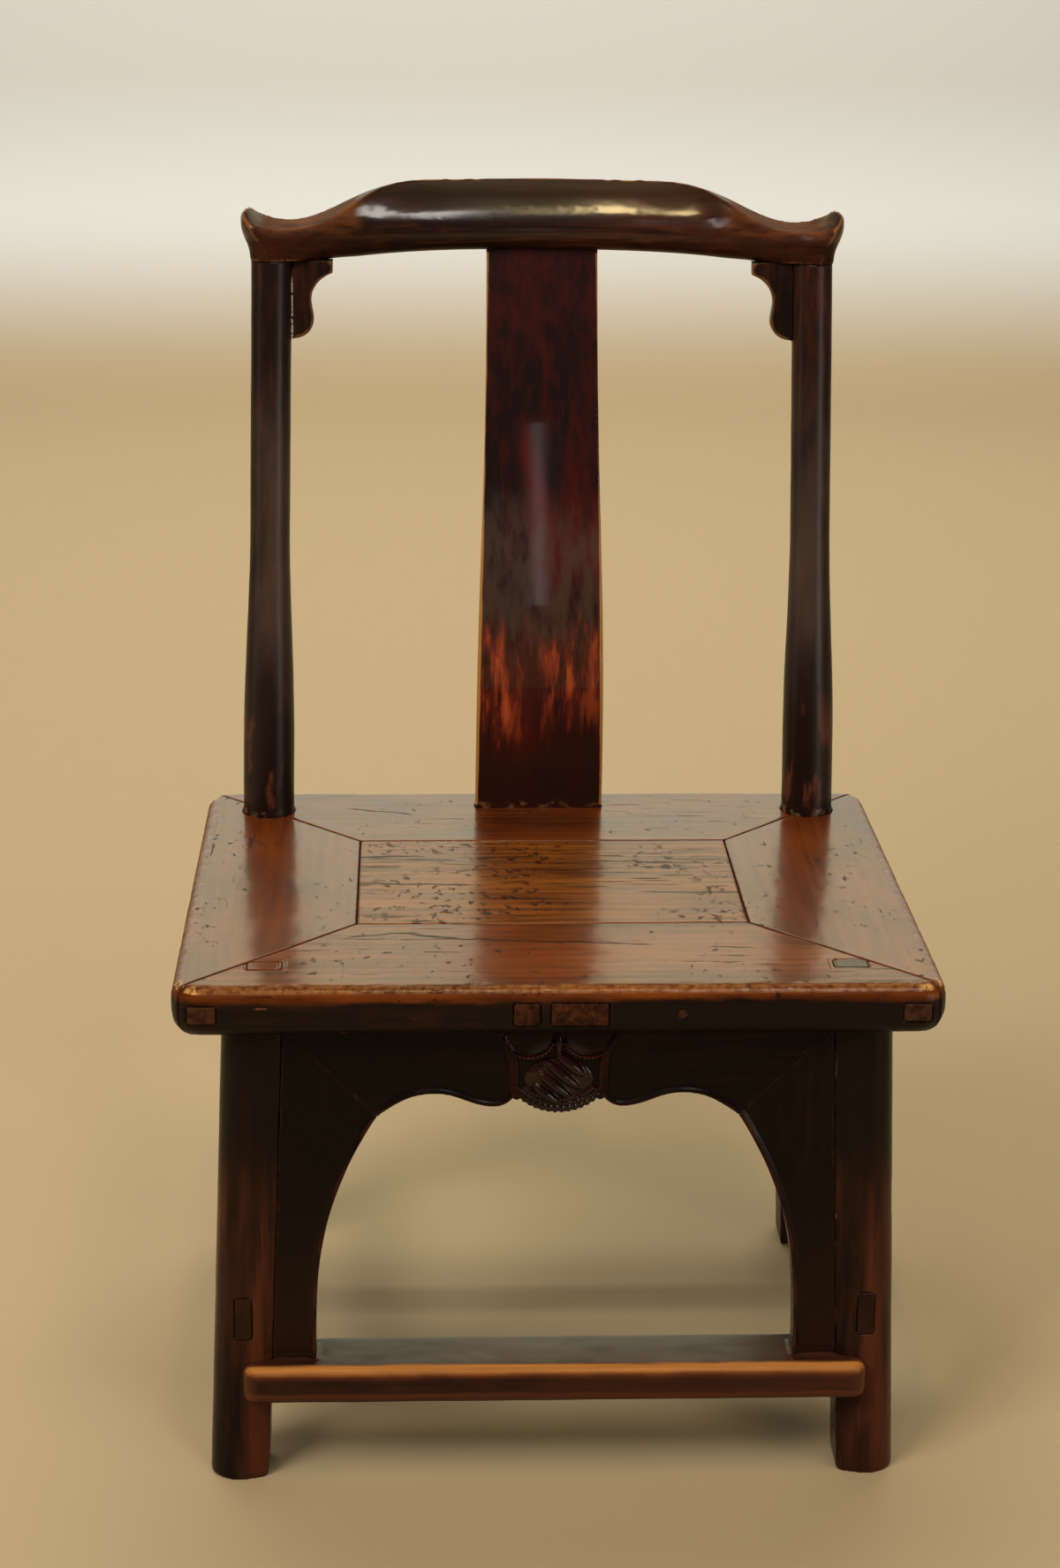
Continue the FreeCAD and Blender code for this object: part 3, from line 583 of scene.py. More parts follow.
class Lacquer(Finish):
    """Dark lacquer with grain along one axis."""

    def __init__(self, name, along, deep, warm, thin=(0.42, 0.66), shift=0.0):
        super().__init__(name)
        self.grain = self.noise(380, ALONG[along], (shift, shift, shift), detail=3)
        self.patch = self.noise(13, BROAD[along], (shift, shift, 0), detail=4)
        self.fleck = self.noise(150, BROAD[along], detail=5)
        film = self.step(self.patch + (self.grain - 0.5) * 0.35 + (self.fleck - 0.5) * 0.3, *thin)
        self.colour = self.mix(film, deep, warm)
        self.rough = 0.2 + 0.14 * self.fleck
        self.height = 0.5 * self.grain + 0.5 * self.fleck

    def layer(self, share, colour):
        """Lays a colour over what is there, by its share."""
        self.colour = self.mix(share, self.colour, colour)

    def worn_edges(self, low, high, wood, strength):
        """Bare wood where edges stand out, ragged by the flecks."""
        bare = self.step(self.edge + (self.fleck - 0.5) * 0.25 + (self.patch - 0.5) * 0.2, low, high)
        self.layer(bare * strength, wood)
        self.rough = self.rough + 0.12 * bare
        return bare

    def dark_grooves(self, low=0.04, high=0.16, groove_colour=GROOVE_DARK):
        """Darker colour in the corners, grooves and joints, broken up here and there."""
        share = self.step(self.groove + (self.fleck - 0.5) * 0.12, low, high)
        self.layer(share * 0.85, groove_colour)

    def finish(self, depth=0.05 * MM, coat=0.0, gloss=0.35, coat_rough=0.1):
        """Feeds the shader. Depth is the relief's in metres, coat the share of clear polish on top."""
        self.set(Base_Color=self.colour, Roughness=self.rough, Normal=self.bump(self.height, depth),
                 Coat_Weight=coat, Coat_Roughness=coat_rough, Specular_IOR_Level=gloss)
        return self.material


def dress(material, slot, *names):
    """Gives a finish to pieces. The slot argument is not used."""
    for name in names:
        piece = worn[name]
        piece.data.materials.clear()
        piece.data.materials.append(material)
    print(material.name, "on", ", ".join(names))


# %% [markdown]
# The crest rail is the piece that hands touch. Its headrest is polished to a deep brown, with a painted olive
# reflection along its top, and its lower front is worn to a lighter streaky brown. The dipped necks beside it
# are dull and show more wood. All this could be painted on an image, but an image has to be unwrapped and has
# one resolution. On the rail, height and distance from the middle already tell the parts apart, so the
# colours are bands in those two, in metres above the floor and from the middle.

# %% Crest rail finish
RUBBED_BAND = 0.668, 0.686
OLIVE_REFLECTION_TOP = 0.700, 0.712
POLISHED_BAND = 0.684, 0.701
NECK = 0.120, 0.172
NECK_FOOT = 0.680, 0.686
POST_JOINT = 0.6665, 0.6680
LIGHT_STREAK = (0.10, 0.030, 0.010)
OLIVE_REFLECTION = (0.022, 0.0125, 0.0055)
NECK_WOOD = (0.16, 0.050, 0.014)
CREST_EDGE = (0.22, 0.075, 0.020)
WAX = (0.17, 0.085, 0.034)


def crest_finish():
    lacquer = Lacquer("crest_lacquer", "x", (0.0120, 0.0044, 0.0022), (0.046, 0.0115, 0.0044), (0.40, 0.74))
    aside = lacquer.x.size()
    streaks = lacquer.band(lacquer.z, *RUBBED_BAND, 0.006) * lacquer.step(lacquer.grain, 0.50, 0.70)
    lacquer.layer(streaks * lacquer.step(aside, 0.13, 0.06) * 0.35, LIGHT_STREAK)
    # A painted olive reflection along the top of the headrest.
    lacquer.layer(lacquer.step(lacquer.z, *OLIVE_REFLECTION_TOP) * 0.5, OLIVE_REFLECTION)
    neck = lacquer.band(aside, *NECK, 0.010) * lacquer.step(lacquer.z, *NECK_FOOT)
    lacquer.layer(neck * lacquer.step(lacquer.fleck, 0.24, 0.74) * 0.6, NECK_WOOD)
    bare = lacquer.worn_edges(0.20, 0.46, CREST_EDGE, 0.7)
    lacquer.dark_grooves(0.06, 0.2)
    joint = lacquer.band(lacquer.z, *POST_JOINT, 0.0006) * lacquer.step(aside, 0.150, 0.160)
    lacquer.layer(joint * lacquer.step(lacquer.noise(200, detail=3), 0.46, 0.58) * 0.6, WAX)
    lacquer.rough = 0.24 + 0.10 * lacquer.fleck + 0.25 * neck + 0.2 * bare
    polished = lacquer.band(lacquer.z, *POLISHED_BAND, 0.006) * (1 - neck)
    return lacquer.finish(0.012 * MM, 0.9 * polished, 0.08, 0.14)


dress(crest_finish(), "crest_lacquer", "crest_rail")

# %% [markdown]
# The two shaped brackets in the corners below the crest rail were glued in place. On the left one a ragged
# pale line of old glue shows along the post. As a mesh it would be as thin as a hair, so it is a strip of
# colour at that side, broken up by noise.

# %% Bracket finish
GOLDEN = (0.36, 0.150, 0.042)
OLD_GLUE = (0.42, 0.34, 0.24)


def bracket_finish():
    lacquer = Lacquer("bracket_lacquer", "z", (0.0090, 0.0042, 0.0026), (0.030, 0.0095, 0.0048))
    lacquer.worn_edges(0.2, 0.5, GOLDEN, 0.30)
    lacquer.dark_grooves()
    low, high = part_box("left_crest_bracket")
    strip = lacquer.step(lacquer.x, low.x + 2.2 * MM, low.x + 1.2 * MM)
    strip = strip * lacquer.step(lacquer.z, high.z - 8 * MM, high.z - 14 * MM)
    lacquer.layer(strip * lacquer.step(lacquer.noise(330, detail=3), 0.42, 0.52), OLD_GLUE)
    return lacquer.finish(gloss=0.14)


dress(bracket_finish(), "crest_lacquer", "left_crest_bracket", "right_crest_bracket")

# %% [markdown]
# The splat shows the red under the lacquer best: crimson streaks above, a painted grey sheen in the middle
# that stands for the reflection of the room, a mottled orange-red band where backs have rubbed it, black
# below, and a thin golden line along each edge.
# Old wax sits at its foot. The streaks are noise drawn out along the height, and the bands are heights
# above the seat, made ragged by the patches and the grain, because a clean border would look printed.

# %% Splat finish
SEAT_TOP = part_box("seat_panel")[1].z
SPLAT_HALF_WIDTH = 41.4 * MM
SPLAT_TAPER = 0.0169
CRIMSON_BAND = 0.17, 0.30
SHEEN_BAND = 0.135, 0.175
BACKS_BAND = 0.076, 0.112
BLACK_BELOW = 0.062, 0.044
CRIMSON = (0.080, 0.0060, 0.0034)
GREY_SHEEN = (0.064, 0.0410, 0.0290)
RUBBED_RED = (0.130, 0.0150, 0.0055)
RUBBED_ORANGE = (0.42, 0.068, 0.016)
NEAR_BLACK = (0.018, 0.0062, 0.0038)
WAX_CRUMBS = (0.24, 0.092, 0.030)
GOLDEN_LINE = (0.40, 0.165, 0.035)


def splat_finish():
    lacquer = Lacquer("splat_lacquer", "z", (0.0085, 0.0040, 0.0030), (0.042, 0.0055, 0.0034), (0.38, 0.70))
    rise = lacquer.z - SEAT_TOP
    ragged = rise + (lacquer.patch - 0.5) * 0.08 + (lacquer.grain - 0.5) * 0.03
    streaky = lacquer.step(lacquer.noise(30, (1, 1, 0.10), (0.31, 0, 0), detail=4), 0.47, 0.64)
    lacquer.layer(lacquer.band(ragged, *CRIMSON_BAND, 0.04) * streaky * 0.8, CRIMSON)
    # A painted grey sheen across the middle of the splat, standing for the reflection of the room.
    painted_sheen = lacquer.band(ragged, *SHEEN_BAND, 0.035) * lacquer.step(lacquer.fleck, 0.25, 0.60)
    lacquer.layer(painted_sheen * 0.6, GREY_SHEEN)
    mottle = lacquer.noise(110, (1, 1, 0.18), (0, 0, 0.4), detail=6, rough=0.65)
    columns = lacquer.step(lacquer.noise(48, LOOSE["z"], (0.2, 0, 0), detail=3), 0.42, 0.58)
    rubbed = lacquer.band(ragged, *BACKS_BAND, 0.022) * (0.35 + 0.65 * columns)
    lacquer.layer(rubbed * lacquer.step(mottle, 0.38, 0.58) * 0.9, RUBBED_RED)
    lacquer.layer(rubbed * lacquer.step(mottle, 0.47, 0.66) * 0.85, RUBBED_ORANGE)
    lacquer.layer(lacquer.step(ragged, *BLACK_BELOW) * 0.8, NEAR_BLACK)
    crumbs = lacquer.step(lacquer.noise(120, detail=4), 0.44, 0.62)
    foot = lacquer.step(rise + (lacquer.noise(60, detail=5) - 0.5) * 0.03, 3.5 * MM, 0.5 * MM)
    lacquer.layer(foot * crumbs * 0.8, WAX_CRUMBS)
    aside = lacquer.x.size() + rise * SPLAT_TAPER + (lacquer.fleck - 0.5) * 0.0012
    line = lacquer.step(aside, SPLAT_HALF_WIDTH - 1.8 * MM, SPLAT_HALF_WIDTH - 0.9 * MM)
    lacquer.layer(line * lacquer.step(lacquer.edge, 0.04, 0.14) * 0.9, GOLDEN_LINE)
    lacquer.dark_grooves()
    lacquer.rough = 0.26 + 0.12 * lacquer.fleck
    return lacquer.finish(0.002 * MM, 0.45, 0.12, 0.04)


dress(splat_finish(), "splat_lacquer", "back_splat")

# %% [markdown]
# The posts are nearly black, with a painted grey sheen in the middle that stands for the reflection of the
# room, where hands also dull the film, and they are chipped to the red near the seat. A ring of pale crumbs
# of old wax stays in the corner where they meet it. The posts stand upright, so heights above the seat place
# all three.

# %% Post finish
HANDLED_SHEEN_BAND = 0.10, 0.23
CHIPPED_BAND = 0.0, 0.045
WAX_RING = -1.0 * MM, 2.0 * MM
HANDLED_SHEEN_GREY = (0.070, 0.0480, 0.0350)
CHIPPED_RED = (0.110, 0.0290, 0.0120)


def post_finish():
    lacquer = Lacquer("post_lacquer", "z", (0.0105, 0.0038, 0.0023), (0.056, 0.0130, 0.0056),
                      (0.38, 0.70), 0.3)
    rise = lacquer.z - SEAT_TOP
    crumbs = lacquer.step(lacquer.noise(200, detail=4), 0.46, 0.62)
    ring = lacquer.band(rise + (lacquer.noise(90, detail=3) - 0.5) * 0.010, *WAX_RING, 0.002) * crumbs
    lacquer.dark_grooves()
    lacquer.layer(ring * 0.7, WAX)
    chips = lacquer.step(lacquer.noise(75, BROAD["z"], detail=5), 0.54, 0.66)
    lacquer.layer(lacquer.band(rise, *CHIPPED_BAND, 0.05) * chips * 0.8, CHIPPED_RED)
    # A painted grey sheen on the middle of the posts, for the room's reflection and the film that hands dull.
    handled_sheen = lacquer.band(rise, *HANDLED_SHEEN_BAND, 0.07) * lacquer.step(lacquer.patch, 0.30, 0.62)
    lacquer.layer(handled_sheen * 0.65, HANDLED_SHEEN_GREY)
    lacquer.rough = 0.32 + 0.14 * lacquer.fleck
    return lacquer.finish(0.02 * MM, gloss=0.25)


dress(post_finish(), "post_lacquer", "rear_left_post", "rear_right_post")

# %% [markdown]
# The legs are nearly black at the top and show more of the red wood further down. Their tenons come through
# the seat, where bare end grain shows, redder on the left and greyer on the right. The stretchers have the
# same finish with the grain along their own length, and the side ones show dark tenon ends in the legs. One
# function serves all five pieces, so that they stay alike when a colour is changed.

# %% Leg and stretcher finishes
BLACK_ABOVE = 0.15, 0.23
RED_BAND = 0.015, 0.16
LEG_BLACK = (0.0048, 0.0026, 0.0015)
LEG_RED = (0.086, 0.0215, 0.0078)
LEG_EDGE = (0.11, 0.034, 0.012)
DARK_TENON = (0.016, 0.0062, 0.0030)
LEFT_END_GRAIN = (0.110, 0.024, 0.0036)
RIGHT_END_GRAIN = (0.062, 0.040, 0.021)


def leg_finish(name, along):
    lacquer = Lacquer(name, along, (0.0062, 0.0030, 0.0018), (0.034, 0.0100, 0.0044), (0.36, 0.74), 0.7)
    ragged = lacquer.z + (lacquer.patch - 0.5) * 0.06
    lacquer.layer(lacquer.step(ragged, *BLACK_ABOVE) * 0.8, LEG_BLACK)
    reds = lacquer.step(lacquer.noise(60, LOOSE[along], (0.4, 0, 0), detail=4), 0.42, 0.62)
    warm = lacquer.band(lacquer.z, *RED_BAND, 0.05) * lacquer.step(lacquer.patch, 0.30, 0.52)
    lacquer.layer(warm * reds * 0.85, LEG_RED)
    lacquer.worn_edges(0.25, 0.6, LEG_EDGE, 0.5)
    lacquer.dark_grooves(0.25, 0.6)
    crumbs = lacquer.step(lacquer.noise(300, (1, 1, 0.3), detail=3), 0.54, 0.62)
    lacquer.layer(crumbs * lacquer.step(lacquer.groove, 0.05, 0.12) * 0.5, WAX)
    if along == "y":
        low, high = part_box("left_stretcher")
        tenon = lacquer.step(lacquer.y, low.y + 4 * MM, low.y + 3 * MM)
        tenon = tenon.at_least(lacquer.step(lacquer.y, high.y - 4 * MM, high.y - 3 * MM))
        lacquer.layer(tenon * 0.85, DARK_TENON)
    end_grain = lacquer.step(lacquer.z, SEAT_TOP - 3 * MM, SEAT_TOP - 1 * MM)
    end_grain = end_grain * lacquer.step(lacquer.groove, 0.3, 0.1)
    bare = lacquer.mix(lacquer.step(lacquer.x, -0.1, 0.1), LEFT_END_GRAIN, RIGHT_END_GRAIN)
    lacquer.layer(end_grain * 0.9, bare)
    return lacquer.finish(0.03 * MM, 0.28 * end_grain, 0.12)


dress(leg_finish("leg_lacquer", "z"), "leg_lacquer", "front_left_leg", "front_right_leg")
dress(leg_finish("side_stretcher_lacquer", "y"), "stretcher_lacquer", "left_stretcher", "right_stretcher")
dress(leg_finish("rear_stretcher_lacquer", "x"), "stretcher_lacquer", "rear_stretcher")

# %% [markdown]
# The aprons lie in the shade of the seat and have kept their film: black, a little browner towards the
# floor, with red along the free edges. The carving is nearly the same black and darker still in its
# hollows, and its basket has a clear polish, because a small gleam on each band is what makes carved lacquer
# readable.

# %% Apron and carving finishes
LOW_BROWN = (0.024, 0.0080, 0.0034)
APRON_EDGE = (0.085, 0.0190, 0.0068)
CARVED_EDGE = (0.075, 0.0150, 0.0055)
# Darker still, for the hollows of the carving.
DEEP_GROOVE_DARK = (0.003, 0.0018, 0.0012)
BASKET_POLISH = 26 * MM, 20 * MM


def apron_finish(name, along):
    lacquer = Lacquer(name, along, (0.0050, 0.0026, 0.0015), (0.017, 0.0058, 0.0027), (0.48, 0.78), 0.2)
    lacquer.layer(lacquer.step(lacquer.z, 0.20, 0.08) * 0.5, LOW_BROWN)
    lacquer.worn_edges(0.3, 0.9, APRON_EDGE, 0.8)
    crumbs = lacquer.step(lacquer.noise(300, detail=3), 0.56, 0.64)
    lacquer.layer(lacquer.step(lacquer.groove, 0.05, 0.14) * (0.06 + 0.14 * crumbs), WAX)
    return lacquer.finish(0.03 * MM, gloss=0.10)


def carving_finish():
    lacquer = Lacquer("carving_lacquer", "x", (0.0046, 0.0018, 0.0011), (0.017, 0.0040, 0.0018), (0.36, 0.66))
    lacquer.dark_grooves(0.05, 0.3, DEEP_GROOVE_DARK)
    lacquer.worn_edges(0.5, 1.2, CARVED_EDGE, 0.5)
    lacquer.rough = 0.22 + 0.12 * lacquer.fleck
    rise = lacquer.z - BASKET[1] * MM
    basket = lacquer.step(lacquer.x * lacquer.x + rise * rise, *(reach ** 2 for reach in BASKET_POLISH))
    return lacquer.finish(0.02 * MM, 0.45 * basket, 0.10, 0.14)


dress(apron_finish("apron_lacquer", "x"), "apron_lacquer", "front_apron", "rear_apron")
dress(apron_finish("side_apron_lacquer", "y"), "apron_lacquer", "left_side_apron", "right_side_apron")
dress(apron_finish("bracket_board_lacquer", "z"), "apron_lacquer",
      "front_left_bracket_board", "front_right_bracket_board")
dress(carving_finish(), "apron_lacquer", "apron_carving")

# %% [markdown]
# Feet have rubbed the footrest's nose: first to red, then along its upper rim to golden wood. Behind the
# nose the level top keeps a soft polish. The edge attribute by itself would wear every edge alike, so this
# wear is placed by distances from the nose and from the top, taken from the piece's own box.

# %% Footrest finish
FOOT_RED = (0.120, 0.0290, 0.0075)
FOOT_GOLD = (0.52, 0.200, 0.040)
FOOT_UNDER = (0.105, 0.0280, 0.0085)


def footrest_finish():
    lacquer = Lacquer("footrest_lacquer", "x", (0.013, 0.0044, 0.0024), (0.046, 0.0120, 0.0050), (0.36, 0.70))
    low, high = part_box("footrest")
    chafed = (lacquer.fleck - 0.5) * 0.004 + (lacquer.patch - 0.5) * 0.006
    height = lacquer.z + 0.5 * chafed
    nose = lacquer.step(lacquer.y + chafed, low.y + 10.5 * MM, low.y + 6.0 * MM)
    ends = lacquer.step(lacquer.x.size(), high.x - 12 * MM, high.x - 3 * MM)
    rubbed = nose * lacquer.step(height, high.z - 7.5 * MM, high.z - 2.0 * MM)
    bare = nose * lacquer.step(height, high.z - 5.8 * MM, high.z - 0.6 * MM)
    under = lacquer.step(lacquer.y, low.y + 4 * MM, low.y + 2 * MM)
    under = under * lacquer.band(lacquer.z + chafed, low.z + 3.5 * MM, low.z + 6.0 * MM, 2 * MM)
    lacquer.layer(under * 0.5, FOOT_UNDER)
    lacquer.layer(rubbed.at_least(ends * 0.5) * 0.8, FOOT_RED)
    lacquer.layer(bare * bare * (0.30 + 0.9 * lacquer.grain), FOOT_GOLD)
    level = lacquer.step(lacquer.z, high.z - 2.0 * MM, high.z - 0.8 * MM) * (1 - nose)
    lacquer.dark_grooves()
    lacquer.rough = 0.28 + 0.1 * lacquer.fleck + 0.12 * bare
    return lacquer.finish(0.02 * MM, 0.6 * level, 0.18, 0.2)


dress(footrest_finish(), "footrest_lacquer", "footrest")

# %% [markdown]
# Of the peg and the brace, a standing viewer sees only the ends, in the edge of the seat: rough end grain,
# reddish brown, with lighter and darker scuffs. Both have the same finish, as a material each, because they
# have a slot each.

# %% Peg and brace finishes
SCUFFED = (0.095, 0.0290, 0.0100)
SOILED = (0.012, 0.0040, 0.0020)


def peg_finish(name):
    lacquer = Lacquer(name, "y", (0.020, 0.0058, 0.0024), (0.074, 0.0220, 0.0075))
    scuffs = lacquer.noise(260, detail=5, rough=0.65)
    lacquer.layer(lacquer.step(scuffs, 0.46, 0.66) * 0.5, SCUFFED)
    lacquer.layer(lacquer.step(scuffs, 0.44, 0.32) * 0.7, SOILED)
    lacquer.dark_grooves(0.20, 0.5)
    return lacquer.finish(gloss=0.08)


dress(peg_finish("brace_wood"), "underside_wood", "seat_brace")
dress(peg_finish("peg_wood"), "peg_wood", "front_rail_peg")

# %% [markdown]
# The seat has lost most of its dark film. What is left is amber wood with a clear, polished skin that
# mirrors the room, with growth rings, pits and splits. The underside and the outer edges keep the dark
# lacquer, and the upper arris is rubbed to a golden line, with a painted highlight along its crown. The
# finish is built as it lies on the wood: first the amber, then what marks it, then the dark edges, the arris
# with its painted highlight and last the polish, which is a coat, strong on top and weak on the edges.

# %% Amber wood
RING_SPACING = 9.0 * MM


def amber_wood(lacquer, along, shift, dark, light, streaky):
    """Amber with figure, grain and growth rings, and the fine lines of the grain by themselves."""
    figure = lacquer.noise(26, BROAD[along], (shift, 0, shift), detail=4, warp=0.5)
    lines = lacquer.noise(230, ALONG[along], (shift, 0, 0), detail=4)
    drawn = lacquer.node("Mapping", {}, {"Vector": lacquer.place, "Scale": BROAD[along],
                                         "Location": (shift, shift, 0)})
    rings = lacquer.node("TexWave", {"bands_direction": "Y" if along == "x" else "X"},
                         {"Vector": drawn, "Scale": math.tau / 20 / RING_SPACING, "Distortion": 7.0,
                          "Detail": 3.0, "Detail Scale": 0.6, "Detail Roughness": 0.6}, 1)
    wood = figure + (lacquer.grain - 0.5) * 0.4 + (lines - 0.5) * streaky + (rings - 0.5) * 0.3 * streaky
    return lacquer.mix(lacquer.step(wood, 0.12, 0.88), dark, light), lines


# %% [markdown]
# Pits lie where the wood is soiled, and fine checks where it is dry. To cut hundreds of them into the mesh
# would take a far finer skin, so they are noise, cut off at a level, that darkens the wood, takes the
# polish away and presses the relief in. The long splits are the real chair's largest ones, each from one
# place to another on the top, with its width. Places are x and y in metres.

# %% Pits and splits
PITS = {"x": (0.8, 0.6, 1), "y": (1, 0.6, 1)}
FRONT_SPLITS = [
    ((-0.122, -0.1075), (-0.078, -0.1010), 1.5 * MM),
    ((-0.090, -0.1010), (-0.052, -0.1130), 2.0 * MM),
    ((-0.066, -0.1105), (0.030, -0.1190), 1.6 * MM),
    ((0.000, -0.1165), (0.060, -0.1215), 1.2 * MM),
]
PANEL_SPLITS = [
    ((-0.124, -0.0180), (-0.040, -0.0205), 1.6 * MM),
    ((-0.124, 0.0140), (-0.088, 0.0130), 1.2 * MM),
    ((0.050, -0.0330), (0.126, -0.0360), 1.2 * MM),
]
REAR_SPLITS = [((-0.126, 0.126), (-0.080, 0.112), 1.4 * MM)]


def seat_marks(lacquer, along, shift, pitted, splits):
    """1 in the pits, checks and splits of a seat board. Fewer pits show with a higher value of pitted."""
    soiled = lacquer.step(lacquer.noise(17, (1, 1, 1), (shift, shift, 0), detail=2), 0.44, 0.58)
    pits = lacquer.noise(210, PITS[along], (0, shift, 0), detail=5, rough=0.6)
    pits = soiled * lacquer.step(pits, pitted, pitted + 0.03)
    checks = lacquer.noise(300, LOOSE[along], (0, shift, 0), detail=3)
    dry = lacquer.step(lacquer.noise(14, BROAD[along], (0, shift, shift), detail=2), 0.44, 0.60)
    marks = pits.at_least(lacquer.step(checks, pitted + 0.02, pitted + 0.05) * dry)
    for start, end, width in splits:
        marks = marks.at_least(lacquer.split(start, end, width))
    return marks


print("splits", len(FRONT_SPLITS + PANEL_SPLITS + REAR_SPLITS))

# %% Seat finish
SEAT_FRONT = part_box("seat_front_rail")[0].y
FILM_ENDS = SEAT_TOP - 10.5 * MM, SEAT_TOP - 5.5 * MM
ARRIS_BEGINS = SEAT_TOP - 7.5 * MM, SEAT_TOP - 3.0 * MM
CROWN_HIGHLIGHT_BAND = SEAT_TOP - 3.4 * MM, SEAT_TOP - 1.1 * MM
LEVEL_BEGINS = SEAT_TOP - 3.5 * MM, SEAT_TOP - 0.8 * MM
SPLIT_DARK = (0.016, 0.0060, 0.0028)
TENON_RED = (0.075, 0.0225, 0.0088)
SPECKS = (0.20, 0.062, 0.026)
ARRIS_GOLD = (0.34, 0.120, 0.020)
CROWN_HIGHLIGHT_GOLD = (0.66, 0.330, 0.090)
MITRE_DARK = (0.014, 0.0055, 0.0026)


def seat_finish(name, along, shift, dark, light, streaky, pitted, gleam, splits=()):
    lacquer = Lacquer(name, along, (0.0070, 0.0032, 0.0020), (0.036, 0.0100, 0.0044), (0.44, 0.78), shift)
    amber, lines = amber_wood(lacquer, along, shift, dark, light, streaky)
    marks = seat_marks(lacquer, along, shift, pitted, splits)
    amber = lacquer.mix(marks * 0.85, amber, SPLIT_DARK)
    if along == "y":
        tenon = lacquer.step(lacquer.y, SEAT_FRONT + 4 * MM, SEAT_FRONT + 2 * MM)
        lacquer.layer(tenon * lacquer.step(lacquer.fleck, 0.30, 0.62) * 0.8, TENON_RED)
    lacquer.layer(lacquer.step(lacquer.noise(160, BROAD[along], detail=3), 0.70, 0.74) * 0.6, SPECKS)
    ragged = lacquer.z + (lacquer.fleck - 0.5) * 0.007 + (lacquer.patch - 0.5) * 0.010
    lacquer.layer(lacquer.step(ragged, *FILM_ENDS), amber)
    dents = lacquer.noise(260, (1, 1, 1), (shift, 0, 0), detail=3)
    arris = lacquer.step(lacquer.edge + (dents - 0.5) * 0.5, 0.14, 0.5)
    arris = arris * lacquer.step(ragged, *ARRIS_BEGINS)
    lacquer.layer(arris * 0.8, ARRIS_GOLD)
    # A painted gold highlight along the crown of the worn arris.
    crown_highlight = lacquer.band(lacquer.z, *CROWN_HIGHLIGHT_BAND, 0.7 * MM) * lacquer.step(lacquer.edge, 0.06, 0.18)
    lacquer.layer(crown_highlight * lacquer.step(dents, 0.34, 0.60) * 0.8, CROWN_HIGHLIGHT_GOLD)
    lacquer.dark_grooves(0.09, 0.28, MITRE_DARK)
    lacquer.rough = 0.32 + 0.10 * lacquer.fleck + 0.15 * arris
    lacquer.height = lacquer.height + 2 * dents * arris - 4 * marks
    level = lacquer.step(lacquer.z, *LEVEL_BEGINS) * (1 - 0.8 * arris)
    polish = (0.05 + gleam * level) * (0.9 + 0.5 * streaky * (lines - 0.5)) * (1 - 0.95 * marks)
    return lacquer.finish(0.05 * MM, polish, 0.12, 0.16)


RED_AMBER = (0.042, 0.0076, 0.0012), (0.150, 0.0300, 0.0032)
WARM_AMBER = (0.044, 0.0088, 0.0013), (0.185, 0.0400, 0.0038)
GOLD_AMBER = (0.050, 0.0125, 0.0022), (0.235, 0.0670, 0.0076)
dress(seat_finish("front_rail_lacquer", "x", 0.1, *WARM_AMBER, 0.45, 0.615, 0.80, FRONT_SPLITS),
      "seat_lacquer", "seat_front_rail")
dress(seat_finish("rear_rail_lacquer", "x", 0.3, *RED_AMBER, 0.3, 0.63, 0.95, REAR_SPLITS),
      "seat_lacquer", "seat_rear_rail")
dress(seat_finish("side_rail_lacquer", "y", 0.5, *RED_AMBER, 0.25, 0.61, 0.95),
      "seat_lacquer", "seat_left_rail", "seat_right_rail")
dress(seat_finish("panel_lacquer", "x", 0.8, *GOLD_AMBER, 0.5, 0.565, 0.64, PANEL_SPLITS),
      "panel_lacquer", "seat_panel")

# %% [markdown]
# The stage: a pale floor that runs up into a plain wall, so that the polished seat has something pale to
# mirror. The wall is the floor's back edge, extruded upwards, with the fold rounded by a bevel. Its colour
# changes with the height, because each part of the seat mirrors another height of the wall.

# %% Floor and wall
FLOOR_COLOUR = (0.390, 0.283, 0.150)
WALL_COLOUR = (0.71, 0.710, 0.655)
HIGH_WALL_COLOUR = (0.77, 0.880, 0.770)
TOP_WALL_COLOUR = (0.92, 0.870, 0.575)
WALL_BEGINS = 0.0, 0.3
HIGH_WALL_BEGINS = 0.7, 1.2
TOP_WALL_BEGINS = 1.42, 1.62
WALL_PLACE = 3.6
WALL_HEIGHT = 4.0
FOLD_WIDTH = 0.5
STAGE_REACH = 9.0
NEAR = 10 * MM


def edges_where(piece, test):
    """Selects, in edit mode, the edges whose two ends pass a test on their place."""
    bpy.ops.object.mode_set(mode="EDIT")
    bpy.ops.mesh.select_mode(type="EDGE")
    bpy.ops.mesh.select_all(action="DESELECT")
    bpy.ops.object.mode_set(mode="OBJECT")
    for edge in piece.data.edges:
        edge.select = all(test(piece.data.vertices[v].co) for v in edge.vertices)
    bpy.ops.object.mode_set(mode="EDIT")


def stage_paint():
    finish = Finish("pale_floor")
    wall = finish.mix(finish.step(finish.z, *HIGH_WALL_BEGINS), WALL_COLOUR, HIGH_WALL_COLOUR)
    wall = finish.mix(finish.step(finish.z, *TOP_WALL_BEGINS), wall, TOP_WALL_COLOUR)
    finish.set(Base_Color=finish.mix(finish.step(finish.z, *WALL_BEGINS), FLOOR_COLOUR, wall), Roughness=0.7)
    return finish.material


